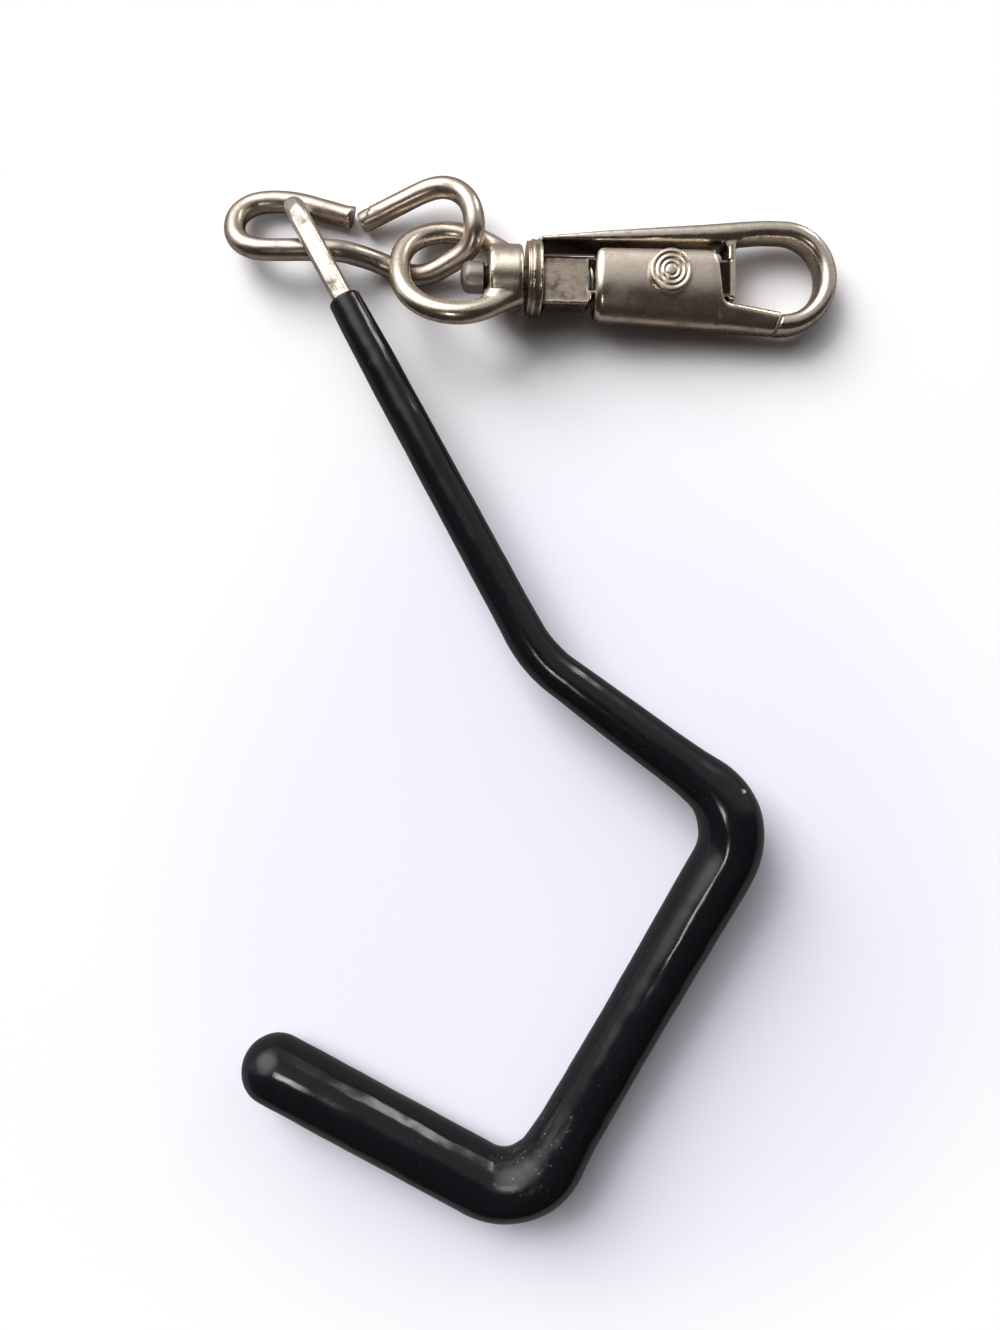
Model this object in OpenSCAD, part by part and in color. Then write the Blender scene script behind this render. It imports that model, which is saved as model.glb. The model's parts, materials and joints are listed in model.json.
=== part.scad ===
// Swivel snap with a wire link and a coated hook.
//
// A cast snap with a sliding thumb gate turns on a swivel eye. An opened wire link
// joins the eye to a bent steel rod, whose lower two thirds carry a thick dipped
// coating. The whole chain lies flat, as it would on a table, with +Z up.

/* [Hook rod] */
// Diameter of the steel rod
rod_d = 4.0; // [3:0.1:4.4]
// Distance from the link's strand to the knee, along the shank
shank_len = 89.8; // [75:0.1:110]
// Distance from the knee to the elbow
reach_len = 50.5; // [44:0.1:60]
// Distance from the elbow to the lower corner
back_len = 86.6; // [75:0.1:100]
// Distance from the lower corner to the centre of the round toe
toe_len = 54.6; // [35:0.1:70]
// Direction of the shank, anticlockwise from +X
shank_dir = -61.6; // [-66:0.1:-57]
// How far the knee turns
knee_turn = 25.0; // [10:0.1:40]
// How far the elbow turns
elbow_turn = -83.1; // [-95:0.1:-70]
// How far the lower corner turns
corner_turn = -88.7; // [-100:0.1:-75]
// Bend radius of the knee, at the rod's centre
knee_r = 26; // [12:1:40]
// Bend radius of the elbow, at the rod's centre
elbow_r = 12.2; // [9:0.1:18]
// Bend radius of the lower corner, at the rod's centre
corner_r = 10.6; // [9:0.1:16]

/* [Hairpin] */
// Half the distance between the hairpin's two legs, at the rod's centre
pin_half_w = 4.8; // [4.6:0.1:6]
// Bend radius of the hairpin's corners, at the rod's centre
pin_bend_r = 4.5; // [3:0.1:4.5]
// Distance from the link's strand to the centre of the hairpin bend
pin_reach = 3.5; // [2:0.1:5]
// How far the return leg runs past the link's strand
return_len = 2.9; // [2.5:0.1:6]

/* [Coating] */
// Distance from the link's strand to the coating's edge
coat_start = 12.6; // [10:0.1:24]
// Diameter of the coating at its upper edge
coat_neck_d = 6.3; // [5.6:0.1:7]
// Diameter of the coating at the knee
coat_knee_d = 8.0; // [7:0.1:9]
// Diameter of the coating above the elbow
coat_elbow_d = 10.2; // [9:0.1:11.5]
// Diameter of the coating along the back
coat_back_d = 11.8; // [11:0.1:13]
// Diameter of the coating along the toe
coat_toe_d = 13.4; // [12:0.1:15]

/* [Wire link] */
// Diameter of the link's wire
link_d = 4.1; // [3.4:0.1:4.2]
// Width of the link's narrow end, between strand centres
link_narrow_w = 11.4; // [11:0.1:14]
// Length of the narrow end past the hairpin
link_narrow_len = 16.5; // [14:0.1:22]
// Length of the wide end past the hairpin
link_wide_len = 30.6; // [30.4:0.1:31.5]
// Bend radius of the narrow end
link_narrow_r = 5.6; // [4.5:0.1:5.8]
// Bend radius of the wide end's round top
link_wide_r = 7.2; // [6:0.1:7.4]
// Height of the wire where it passes over the bow
over_z = 7.7; // [7.6:0.1:8.5]

/* [Swivel eye] */
// Diameter of the bow's wire
bow_d = 4.1; // [3.6:0.1:4.4]
// Length of the bow from the barrel's face to the wire's centre
bow_len = 17.2; // [16:0.1:22]
// Half width of the bow, at the wire's centre
bow_half_w = 11.5; // [11:0.1:12]
// How far the bow stands off the barrel's axis
bow_y = 0.95; // [0.8:0.05:1.1]
// Bend radius of the bow's corners
bow_r = 8.8; // [7:0.1:10]
// Outer diameter of the barrel
barrel_d = 12.3; // [11:0.1:13.5]
// Length of the barrel
barrel_len = 6.5; // [5:0.1:8]
// How far the eye is rolled about the swivel's axis
eye_roll = 28; // [20:0.5:29]

/* [Swivel pin] */
// Diameter of the pin's shaft
pin_d = 4.2; // [3:0.1:5]
// Diameter of the pin's head
pin_head_d = 5.5; // [5.2:0.1:6.5]
// Length of the pin's head
pin_head_len = 4.6; // [3:0.1:5]
// Thickness of the thrust washer
washer_t = 0.7; // [0.5:0.1:1]
// Diameter of the thrust washer
washer_d = 13.6; // [12:0.1:14]

/* [Snap body] */
// Distance of the washer's left face to the right of the link's strand in the hairpin
swivel_x = 40.5; // [40.4:0.1:41]
// Distance of the swivel's axis above the link's strand, seen from above
swivel_y = -5.75; // [-5.9:0.05:-5.6]
// Diameter of the collar
collar_d = 14.3; // [14:0.1:15]
// Thickness of the collar
collar_t = 2.2; // [1.8:0.1:3]
// Distance from the swivel face to the centre of the hook's loop
loop_x = 49.8; // [49:0.1:56]
// Height of the loop's centre above the swivel's axis
loop_y = 0.85; // [0.6:0.05:1.1]
// Radius of the loop, at the bar's centre
loop_r = 9.0; // [8.6:0.1:9.6]
// Width of the loop's bar in the plane of the hook
loop_w = 3.9; // [3.4:0.1:4.4]
// Thickness of the loop's bar
loop_t = 6.2; // [5:0.1:7]
// Angle below the snap's length at which the loop's bar ends, behind the joint
tip_end = 104; // [102:0.5:108]
// Height of the guide bar
guide_h = 7.0; // [6.6:0.1:7.4]
// Thickness of the guide bar
guide_t = 5.2; // [4.6:0.1:5.6]
// Height of the web beside the collar
web_h = 9.0; // [8.6:0.1:9.4]
// Distance from the swivel face to the web's end
web_x1 = 12.4; // [12:0.1:12.8]
// Distance from the swivel face to the window
window_x0 = 11.7; // [10.5:0.1:12]
// Distance from the swivel face to the strut
strut_x0 = 39.05; // [38.8:0.05:39.4]
// Height of the strut's lower end against the swivel's axis
strut_y0 = -3.9; // [-4.1:0.1:-3.5]
// Width of the strut between guide bar and spine
strut_w = 1.4; // [1:0.1:2]
// Distance from the swivel face to the joint between gate and tip
mouth_x = 48.9; // [48:0.1:49.5]
// Slant of the joint between gate and tip
mouth_slant = 17; // [0:1:25]
// Height of the spine above the swivel's axis at the collar
spine_y = 7.15; // [6.8:0.05:7.4]

/* [Gate] */
// Travel of the gate
gate_travel = 9.0; // [6:0.1:9.2]
// Thickness of the gate's sleeve
sleeve_t = 10.0; // [8.6:0.1:11]
// Distance from the swivel face to the sleeve's left end
sleeve_x0 = 13.0; // [12.8:0.1:13.5]
// Diameter of the thumb button
button_d = 8.4; // [7:0.1:9]
// Distance from the swivel face to the button's centre
button_x = 27.0; // [26:0.1:27.5]
// Height of the thumb button
button_h = 1.3; // [0.8:0.1:1.6]
// Height of the rivet's tail below the sleeve
rivet_tail = 0.5; // [0.3:0.1:0.8]
// Radius of the rivet's tail
tail_r = 2.9; // [2.5:0.1:3.2]
// Diameter of the rivet's shank
rivet_d = 4.4; // [3.4:0.1:4.6]
// Outer diameter of the gate's spring
spring_d = 5.6; // [4.6:0.1:5.8]
// Wire of the gate's spring
spring_wire_d = 0.5; // [0.4:0.05:0.6]
// Turns of the gate's spring
spring_turns = 7; // [4:1:7]

/* [Fits] */
// Running gap between parts that turn or slide
running_gap = 0.06; // [0.04:0.01:0.1]
// Gap between the table and the parts that lie on it
table_gap = 0.05; // [0.02:0.01:0.1]
// Gap between the gate's nose and the loop's tip
mouth_gap = 0.3; // [0.2:0.05:0.5]
// Play of the swivel along its axis
swivel_play = 0.8; // [0.1:0.1:1]
// Gap between the sleeve and the bar that it slides on
slide_gap = 0.12; // [0.08:0.01:0.15]
// Gap round the rod inside its coating
coat_gap = 0.06; // [0.04:0.01:0.1]

/* [Hidden] */
$fn = 48;
eps = 0.01;

// Vectors and directions
function unit(v) = v / norm(v);
function heading(a) = [cos(a), sin(a), 0];
function angle_between(a, b) = atan2(norm(cross(a, b)), a * b);

// Where the link's lower strand runs through the hairpin. All heights follow from the
// return leg, which lies on the table.
return_z = rod_d / 2 + 2 * table_gap;
strand_z = return_z + pin_half_w;
shank_z = strand_z + pin_half_w;
toe_z = coat_toe_d / 2 + table_gap;

// Directions of the hook's straight runs
reach_dir = shank_dir + knee_turn;
back_dir = reach_dir + elbow_turn;
toe_dir = back_dir + corner_turn;

// The rod's corners in the hook's own plane, from the strand at the origin
knee_at = shank_len * heading(shank_dir);
elbow_at = knee_at + reach_len * heading(reach_dir);
corner_at = elbow_at + back_len * heading(back_dir);
toe_at = corner_at + toe_len * heading(toe_dir);
hairpin_drop = [0, 0, -2 * pin_half_w];
hairpin_end = (pin_reach + pin_half_w) * heading(shank_dir + 180);
return_at = return_len * heading(shank_dir);

// The hook leans down from the hairpin to its toe, about the toe's own direction
toe_reach = abs(cross(corner_at, heading(toe_dir))[2]);
lean = asin((shank_z - toe_z) / toe_reach);

// The rod as a path of corners with a bend radius each
rod_path = [
    return_at + hairpin_drop, hairpin_end + hairpin_drop, hairpin_end,
    knee_at, elbow_at, corner_at, toe_at,
];
rod_bends = [0, pin_bend_r, pin_bend_r, knee_r, elbow_r, corner_r, 0];
coated_path = [coat_start * heading(shank_dir), knee_at, elbow_at, corner_at, toe_at];
coated_bends = [0, knee_r, elbow_r, corner_r, 0];

// Lengths along the coated run, for the law of its diameter
to_knee = shank_len - coat_start;
to_elbow = to_knee + reach_len;
to_corner = to_elbow + back_len;
to_toe = to_corner + toe_len;
elbow_cut = elbow_r * tan(abs(elbow_turn) / 2);
corner_cut = corner_r * tan(abs(corner_turn) / 2);
coat_law = [
    [0, coat_neck_d - 1.0],
    [1.2, coat_neck_d],
    [12, coat_neck_d + 0.6],
    [to_knee - 12, coat_knee_d - 0.4],
    [to_knee + 6, coat_knee_d + 0.2],
    [to_elbow - elbow_cut - 4, coat_elbow_d - 0.7],
    [to_elbow - elbow_cut, coat_elbow_d + 0.2],
    [to_elbow - elbow_cut * 0.3, coat_back_d + 0.5],
    [to_elbow + elbow_cut, coat_back_d + 0.5],
    [(to_elbow + to_corner) / 2, coat_back_d - 0.2],
    [to_corner - corner_cut * 2, coat_back_d + 0.1],
    [to_corner - corner_cut, coat_toe_d + 0.3],
    [to_corner, coat_toe_d],
    [to_toe - 8, coat_toe_d],
    [to_toe, coat_toe_d - 0.6],
];

// The snap's own frame: the swivel's axis is its X axis, and the washer's left face lies
// at x = 0. The collar's rim and the rivet's tail both rest on the table.
collar_rest_x = washer_t + collar_t;
tail_rest_x = button_x + tail_r;
rest_drop = collar_d / 2 - sleeve_t / 2 - rivet_tail;
snap_pitch = atan(rest_drop / (tail_rest_x - collar_rest_x));
snap_z = collar_rest_x * sin(snap_pitch) + collar_d / 2 * cos(snap_pitch) + table_gap;
snap_at = [swivel_x, swivel_y, snap_z];

// The eye's frame is the snap's frame rolled about the axis, and its barrel ends just
// short of the washer
barrel_x1 = -swivel_play;
barrel_x0 = barrel_x1 - barrel_len;
bow_x0 = barrel_x0 - bow_len;
bow = [
    [barrel_x1 - 2.6, barrel_d / 2 + 0.3, 0],
    [barrel_x0 - 3.2, bow_y + bow_half_w, 0],
    [bow_x0, bow_y + bow_half_w + 0.7, 0],
    [bow_x0, bow_y - bow_half_w + 1.2, 0],
    [barrel_x0 - 2.6, bow_y - bow_half_w + 0.4, 0],
    [barrel_x1 - 2.6, -barrel_d / 2 + 0.3, 0],
];
bow_bends = [0, 7, bow_r, bow_r, 7, 0];

// Heights of the link's wire: on the table, and where it passes over the bow
link_floor_z = link_d / 2 + table_gap;
left_x = -link_narrow_len;
right_x = link_wide_len;

// The link's corners, from one cut end round to the other: the upper strand on the
// table, the narrow end, the lower strand through the hairpin and down under the bow,
// then up over the bow, round the wide end and back to the second cut
link_path = [
    [6.3, link_narrow_w - 3.2, link_floor_z],
    [-5.5, link_narrow_w + 0.1, link_floor_z],
    [left_x, link_narrow_w, link_floor_z],
    [left_x, 0, strand_z],
    [4.6, 0, strand_z],
    [11.8, -0.6, link_floor_z + 0.2],
    [19.5, -4.2, link_floor_z],
    [right_x, 0.6, over_z - 1.7],
    [right_x, 3.6, over_z + 0.3],
    [right_x, 15.9, over_z - 0.3],
    [8.1, 7.1, link_floor_z + 0.3],
];
link_bends = [0, 18, link_narrow_r, link_narrow_r, 6.5, 6.5, 7, 4.2, 2.2, link_wide_r, 0];

// The loop's outer and inner radius
loop_out = loop_r + loop_w / 2;
loop_in = loop_r - loop_w / 2;

// Edges of the body's spine along its length, as pairs of x and y
spine_x0 = collar_rest_x - 0.6;
spine_top = [
    [spine_x0, spine_y], [loop_x - 34.8, spine_y + 1.6], [loop_x - 13.8, spine_y + 3.75],
    [loop_x - 7.8, loop_y + loop_out - 0.3], [loop_x - 3.8, loop_y + loop_out], [loop_x, loop_y + loop_out],
];
spine_low = [
    [spine_x0, spine_y - 0.8], [loop_x - 13.8, spine_y - 0.45], [loop_x - 7.8, loop_y + loop_in - 0.5],
    [loop_x - 3.8, loop_y + loop_in], [loop_x, loop_y + loop_in],
];

// The guide bar's and the window's edges
guide_y1 = guide_h / 2;
guide_y0 = -guide_h / 2;
web_y0 = guide_y1 - web_h;
strut_x1 = strut_x0 + strut_w;
window_h = spring_d + 2 * running_gap + 0.3;
window_x1 = button_x + rivet_d / 2 + 0.4;

// The sleeve's outline, as values along its length
sleeve_x1 = mouth_x + 2;
step_x = web_x1 + gate_travel + 0.3;
top_y = guide_y1 + 1.75;
low_y = web_y0 - 2.45;
shoulder_x = strut_x0 - 3.6;
sleeve_top = [
    [sleeve_x0, top_y - 0.8], [sleeve_x0 + 1, top_y - 0.2], [shoulder_x, top_y],
    [shoulder_x + 0.7, top_y - 0.35], [shoulder_x + 1.2, top_y - 1.5], [shoulder_x + 1.5, 0.8],
    [shoulder_x + 1.8, -2.3], [shoulder_x + 2.1, -3.6], [shoulder_x + 2.6, -4.35],
    [shoulder_x + 3.4, -4.7], [shoulder_x + 8.55, -5.2], [sleeve_x1, -6.1],
];
sleeve_low = [
    [sleeve_x0, low_y + 0.5], [sleeve_x0 + 1.2, low_y - 0.1], [shoulder_x + 2.55, low_y - 1.4],
    [sleeve_x1, low_y - 2.3],
];
sleeve_half = [
    [sleeve_x0, 0.86], [sleeve_x0 + 1, 1], [shoulder_x, 1], [shoulder_x + 5.55, 0.86], [sleeve_x1, 0.64],
];

// Corner lists for paths of straight runs and bends
function runs_in(p, i) = unit(p[i] - p[i - 1]);
function runs_out(p, i) = unit(p[i + 1] - p[i]);
function turn_at(p, i) = angle_between(runs_in(p, i), runs_out(p, i));
function is_corner(p, i) = i > 0 && i < len(p) - 1;
function cut_back(p, r, i) = is_corner(p, i) ? r[i] * tan(turn_at(p, i) / 2) : 0;
function run_start(p, r, i) = p[i] + runs_out(p, i) * cut_back(p, r, i);
function run_end(p, r, i) = p[i] - runs_in(p, i) * cut_back(p, r, i);
function inward(p, i) = unit(runs_out(p, i) - (runs_in(p, i) * runs_out(p, i)) * runs_in(p, i));

// Puts children in the frame whose X, Y and Z axes and origin are given
module in_frame(x, y, z, at) {
    multmatrix([
        [x[0], y[0], z[0], at[0]],
        [x[1], y[1], z[1], at[1]],
        [x[2], y[2], z[2], at[2]],
        [0, 0, 0, 1],
    ]) children();
}

// A straight round bar between two points
module round_run(from, to, d) {
    z = unit(to - from);
    x = unit(cross(z, abs(z[2]) < 0.9 ? [0, 0, 1] : [1, 0, 0]));
    in_frame(x, cross(z, x), z, from) cylinder(d = d, h = norm(to - from));
}

// A round bar bent through one corner of a path
module round_bend(p, r, i, d) {
    start = run_end(p, r, i);
    travel = runs_in(p, i);
    outward = -inward(p, i);
    centre = start - outward * r[i];
    in_frame(outward, travel, cross(outward, travel), centre)
        rotate_extrude(angle = turn_at(p, i)) translate([r[i], 0]) circle(d = d);
}

// A round bar bent along a path of corners. Each straight run laps into the bends beside
// it, which are a hair thicker, so that the pieces join cleanly.
lap = 0.15;
seam = 0.02;
module bent_bar(p, r, d) {
    last = len(p) - 2;
    for (i = [0 : last]) {
        way = runs_out(p, i);
        from = run_start(p, r, i) - (i > 0 ? lap : 0) * way;
        to = run_end(p, r, i + 1) + (i < last ? lap : 0) * way;
        round_run(from, to, d);
    }
    for (i = [1 : last]) round_bend(p, r, i, d + seam);
}

// A level path cut into stations [point, direction in degrees, distance travelled]
function dir_of(v) = atan2(v[1], v[0]);
function steps_for(length, step) = max(1, ceil(length / step));
function run_stations(p, r, i, step) =
    let (a = run_start(p, r, i), b = run_end(p, r, i + 1), n = steps_for(norm(b - a), step))
    [for (k = [0 : n]) [a + (b - a) * k / n, dir_of(b - a)]];
function bend_stations(p, r, i, count) =
    let (
        a0 = dir_of(runs_in(p, i)),
        side = cross(runs_in(p, i), runs_out(p, i))[2] > 0 ? 1 : -1,
        a = run_end(p, r, i),
        centre = a + r[i] * heading(a0 + 90 * side)
    )
    [for (k = [1 : count - 1])
        let (t = a0 + side * turn_at(p, i) * k / count)
        [centre - r[i] * heading(t + 90 * side), t]];
function path_stations(p, r, step, count) = [
    for (i = [0 : len(p) - 2])
        for (s = concat(
            i == 0 ? [] : bend_stations(p, r, i, count),
            run_stations(p, r, i, step)
        )) s,
];
function distances(s, i = 0, total = 0, out = []) =
    i == len(s) ? out :
    let (d = i == 0 ? 0 : total + norm(s[i][0] - s[i - 1][0]))
    distances(s, i + 1, d, concat(out, [d]));

// One ring of a swept body: points of a rounded section across the path
function ring_points(at, direction, half_w, half_t, sides, power) = [
    for (k = [0 : sides - 1])
        let (
            a = 360 * k / sides,
            c = sign(cos(a)) * pow(abs(cos(a)), power),
            s = sign(sin(a)) * pow(abs(sin(a)), power)
        )
        at + heading(direction - 90) * (half_w * c) + [0, 0, half_t * s],
];

// A closed skin through rings of equal size
module skin(rings) {
    n = len(rings[0]);
    last = len(rings) - 1;
    points = [for (ring = rings) for (p = ring) p];
    sides = [
        for (i = [0 : last - 1])
            for (k = [0 : n - 1])
                [i * n + k, i * n + (k + 1) % n, (i + 1) * n + (k + 1) % n, (i + 1) * n + k],
    ];
    first_cap = [[for (k = [n - 1 : -1 : 0]) k]];
    last_cap = [[for (k = [0 : n - 1]) last * n + k]];
    polyhedron(points, concat(sides, first_cap, last_cap), convexity = 6);
}

// The hook's plane, set on the table
module place_hook() {
    translate([0, 0, shank_z]) rotate(lean, heading(toe_dir + 180)) children();
}

// The snap's and the eye's frames, set on the table
module place_snap() {
    translate(snap_at) rotate([0, snap_pitch, 0]) children();
}
module place_eye() {
    place_snap() rotate([-eye_roll, 0, 0]) children();
}

// Steel rod with a hairpin at its top, running through the coating to the toe
module hook_rod() {
    color("silver") place_hook() bent_bar(rod_path, rod_bends, rod_d);
}

// Thick dipped coating: it thickens toward the low end, where the dip drained
module hook_coating() {
    stations = path_stations(coated_path, coated_bends, 9, 9);
    outer_sides = 24;
    bore_sides = 16;
    along = distances(stations);
    toe_r = coat_law[len(coat_law) - 1][1] / 2;
    cap_steps = 6;
    body_rings = [
        for (i = [0 : len(stations) - 1])
            let (r = lookup(along[i], coat_law) / 2)
            ring_points(stations[i][0], stations[i][1], r, r, outer_sides, 1),
    ];
    toe_rings = [
        for (k = [1 : cap_steps])
            let (a = 88 * k / cap_steps)
            ring_points(
                toe_at + toe_r * sin(a) * heading(toe_dir), toe_dir,
                toe_r * cos(a), toe_r * cos(a), outer_sides, 1
            ),
    ];
    bore_r = (rod_d / 2 + coat_gap) / cos(180 / bore_sides);
    bore_rings = [
        for (s = concat(
            [[stations[0][0] - eps * 10 * heading(shank_dir), shank_dir]],
            stations,
            [[toe_at + coat_gap * heading(toe_dir), toe_dir]]
        )) ring_points(s[0], s[1], bore_r, bore_r, bore_sides, 1),
    ];
    color("#1d1d22") place_hook() difference() {
        skin(concat(body_rings, toe_rings));
        skin(bore_rings);
    }
}

// Opened link of bent wire: its two cut ends face each other across a small gap
module wire_link() {
    color("lightgray") bent_bar(link_path, link_bends, link_d);
}

// Cast eye: a bow of round bar on a drilled barrel
module swivel_eye() {
    edge = 0.6;
    r = barrel_d / 2;
    color("silver") place_eye() difference() {
        union() {
            bent_bar(bow, bow_bends, bow_d);
            for (end = [bow[0], bow[5]]) translate(end) sphere(d = bow_d + seam);
            translate([barrel_x0, 0, 0]) rotate([0, 90, 0]) rotate_extrude()
                polygon([
                    [0, 0], [r - edge, 0], [r, edge],
                    [r, barrel_len - edge], [r - edge, barrel_len], [0, barrel_len],
                ]);
        }
        translate([barrel_x0 - 1, 0, 0]) rotate([0, 90, 0])
            cylinder(d = pin_d + 2 * running_gap, h = barrel_len + 2);
    }
}

// Swivel pin: its head sits in the bow, and its shaft is pressed into the collar
module swivel_pin() {
    seat_x = barrel_x0 - 0.15;
    neck_len = 0.8;
    head_r = pin_head_d / 2;
    crown = 0.5;
    head_len = neck_len + pin_head_len;
    tail = washer_t + collar_t - 0.4;
    color("gray") place_snap() translate([seat_x - head_len, 0, 0]) rotate([0, 90, 0])
        rotate_extrude() polygon([
            [0, 0], [head_r - crown, 0], [head_r, crown],
            [head_r, pin_head_len], [head_r - 0.35, pin_head_len], [head_r - 0.35, head_len],
            [pin_d / 2, head_len], [pin_d / 2, head_len - seat_x + tail], [0, head_len - seat_x + tail],
        ]);
}

// Thrust washer between barrel and collar
module swivel_washer() {
    color("lightgray") place_snap() rotate([0, 90, 0]) difference() {
        cylinder(d = washer_d, h = washer_t);
        translate([0, 0, -1]) cylinder(d = pin_d + 2 * running_gap, h = washer_t + 2);
    }
}

// Stations of the loop's bar: [point, direction, half width, half thickness]
function spine_station(t) =
    let (
        x = spine_x0 + (loop_x - spine_x0) * t,
        y1 = lookup(x, spine_top),
        y0 = lookup(x, spine_low)
    )
    [[x, (y0 + y1) / 2, 0], 0, (y1 - y0) / 2, 2.4 + (loop_t / 2 - 2.4) * t];
function loop_station(t) =
    let (a = 90 - (90 + tip_end) * t)
    [[loop_x, loop_y, 0] + loop_r * heading(a), a - 90, loop_w / 2, loop_t / 2];
module loop_bar() {
    stations = concat(
        [for (k = [0 : 15]) spine_station(k / 16)],
        [for (k = [0 : 20]) loop_station(k / 20)]
    );
    skin([for (s = stations) ring_points(s[0], s[1], s[2], s[3], 28, 0.62)]);
}

// Everything on the gate's side (side = -1) or the tip's side (side = 1) of the slanted
// joint between them, below the strut
module mouth_side(side) {
    size = 14;
    translate([mouth_x - side * mouth_gap / 2, loop_y - loop_r, 0]) rotate([0, 0, -mouth_slant])
        translate([side > 0 ? 0 : -size, -size / 2, -size / 2]) cube([size, size, size]);
}

// Cast body: collar, windowed guide bar, spine, strut and loop in one piece
module snap_body() {
    x0 = washer_t;
    x1 = washer_t + collar_t;
    r = collar_d / 2;
    edge = 0.5;
    strut_top = 8.2;
    fillet = 1.6;
    color("silver") place_snap() difference() {
        union() {
            translate([x0, 0, 0]) rotate([0, 90, 0]) rotate_extrude()
                polygon([
                    [0, 0], [r - edge, 0], [r, edge],
                    [r, collar_t - edge], [r - edge, collar_t], [0, collar_t],
                ]);
            translate([0, 0, -guide_t / 2]) linear_extrude(guide_t) polygon([
                [x1 - eps, guide_y1], [x1 - eps, web_y0], [web_x1 - 0.8, web_y0], [web_x1, web_y0 + 0.8],
                [web_x1, guide_y0], [strut_x0 + 0.6, guide_y0], [strut_x0 + 0.6, guide_y1],
            ]);
            translate([0, 0, -loop_t / 2 + 0.2]) linear_extrude(loop_t - 0.4) difference() {
                polygon([
                    [strut_x0 - fillet, strut_top], [strut_x0 - fillet, strut_top - fillet],
                    [strut_x0, strut_top - 2 * fillet - 0.4], [strut_x0, strut_y0],
                    [strut_x1, strut_y0], [strut_x1, strut_top - fillet], [strut_x1 + fillet, strut_top],
                ]);
                translate([strut_x0 - fillet, strut_top - 2 * fillet - 0.4]) circle(r = fillet);
                translate([strut_x1 + fillet, strut_top - fillet - 0.3]) circle(r = fillet);
            }
            difference() {
                loop_bar();
                mouth_side(-1);
            }
        }
        translate([x0 - 1, 0, 0]) rotate([0, 90, 0])
            cylinder(d = pin_d + 0.04, h = collar_t - 0.4 + 1);
        translate([window_x0, -window_h / 2, -guide_t])
            cube([window_x1 - window_x0, window_h, 2 * guide_t]);
    }
}

// Sliding gate: a rounded sleeve round the guide bar, drawn out to a nose that shuts
// the hook's mouth
module gate_sleeve() {
    xs = concat(
        [for (k = [0 : 3]) sleeve_x0 + k * 0.4],
        [for (k = [1 : 4]) sleeve_x0 + 1.2 + k * (shoulder_x - sleeve_x0 - 1.2) / 4],
        [for (dx = [0.4, 0.7, 1, 1.2, 1.35, 1.5, 1.65, 1.8, 1.95, 2.1, 2.35, 2.6, 3, 3.4, 5]) shoulder_x + dx],
        [shoulder_x + 7.55, shoulder_x + 10.55, sleeve_x1]
    );
    rings = [
        for (x = xs)
            let (
                y1 = lookup(x, sleeve_top),
                y0 = lookup(x, sleeve_low),
                h = sleeve_t / 2 * lookup(x, sleeve_half)
            )
            ring_points([x, (y0 + y1) / 2, 0], 0, (y1 - y0) / 2, h, 36, 0.42),
    ];
    gap = slide_gap;
    color("lightgray") place_snap() difference() {
        skin(rings);
        mouth_side(1);
        translate([sleeve_x0 - 1, guide_y0 - gap, -guide_t / 2 - gap])
            cube([30, guide_h + 2 * gap, guide_t + 2 * gap]);
        translate([sleeve_x0 - 1, web_y0 - gap, -guide_t / 2 - gap])
            cube([step_x - sleeve_x0 + 1, web_h + 2 * gap, guide_t + 2 * gap]);
        translate([button_x, 0, -sleeve_t]) cylinder(d = rivet_d + 0.04, h = 2 * sleeve_t);
    }
}

// Thumb button and rivet in one turned piece, with ringed face
module gate_button() {
    r = button_d / 2;
    top = sleeve_t / 2 + button_h;
    low = sleeve_t / 2;
    color("silver") place_snap() translate([button_x, 0, 0]) rotate_extrude() polygon([
        [0, -low - rivet_tail], [tail_r - 0.3, -low - rivet_tail], [tail_r, -low - rivet_tail + 0.2],
        [tail_r, -low],
        [rivet_d / 2, -low], [rivet_d / 2, low], [r, low], [r, top - 0.35], [r - 0.35, top],
        [r - 0.85, top], [r - 1.05, top - 0.35], [r - 1.4, top - 0.35], [r - 1.55, top - 0.1],
        [r - 1.95, top - 0.1], [r - 2.1, top - 0.45], [r - 2.75, top - 0.45], [r - 3.0, top - 0.2],
        [0, top - 0.1],
    ]);
}

// Compression spring in the window, between its left end and the rivet
module gate_spring() {
    x0 = window_x0 + spring_wire_d / 2 + 0.05;
    x1 = button_x - rivet_d / 2 - spring_wire_d / 2 - 0.05;
    r = (spring_d - spring_wire_d) / 2;
    per_turn = 14;
    steps = spring_turns * per_turn;
    rings = [
        for (k = [0 : steps])
            let (
                a = 360 * k / per_turn,
                at = [x0 + (x1 - x0) * k / steps, r * cos(a), r * sin(a)],
                out = [0, cos(a), sin(a)]
            )
            [for (j = [0 : 5]) at + spring_wire_d / 2 * (out * cos(60 * j) + [sin(60 * j), 0, 0])],
    ];
    color("gainsboro") place_snap() skin(rings);
}

// Moves the whole chain so that the middle of its outline is at the origin
function bend_centre(p, r, i) = run_end(p, r, i) + inward(p, i) * r[i];
chain_x0 = left_x - link_d / 2;
chain_x1 = snap_at[0] + (loop_x + loop_out) * cos(snap_pitch);
chain_y1 = bend_centre(link_path, link_bends, 9)[1] + link_wide_r + link_d / 2;
chain_y0 = bend_centre(coated_path, coated_bends, 3)[1] - corner_r - coat_toe_d / 2;
layout_at = [-(chain_x0 + chain_x1) / 2, -(chain_y0 + chain_y1) / 2, 0];
module on_table() {
    translate(layout_at) children();
}

on_table() hook_rod();
on_table() hook_coating();
on_table() wire_link();
on_table() swivel_eye();
on_table() swivel_pin();
on_table() swivel_washer();
on_table() snap_body();
on_table() gate_sleeve();
on_table() gate_button();
on_table() gate_spring();
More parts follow.
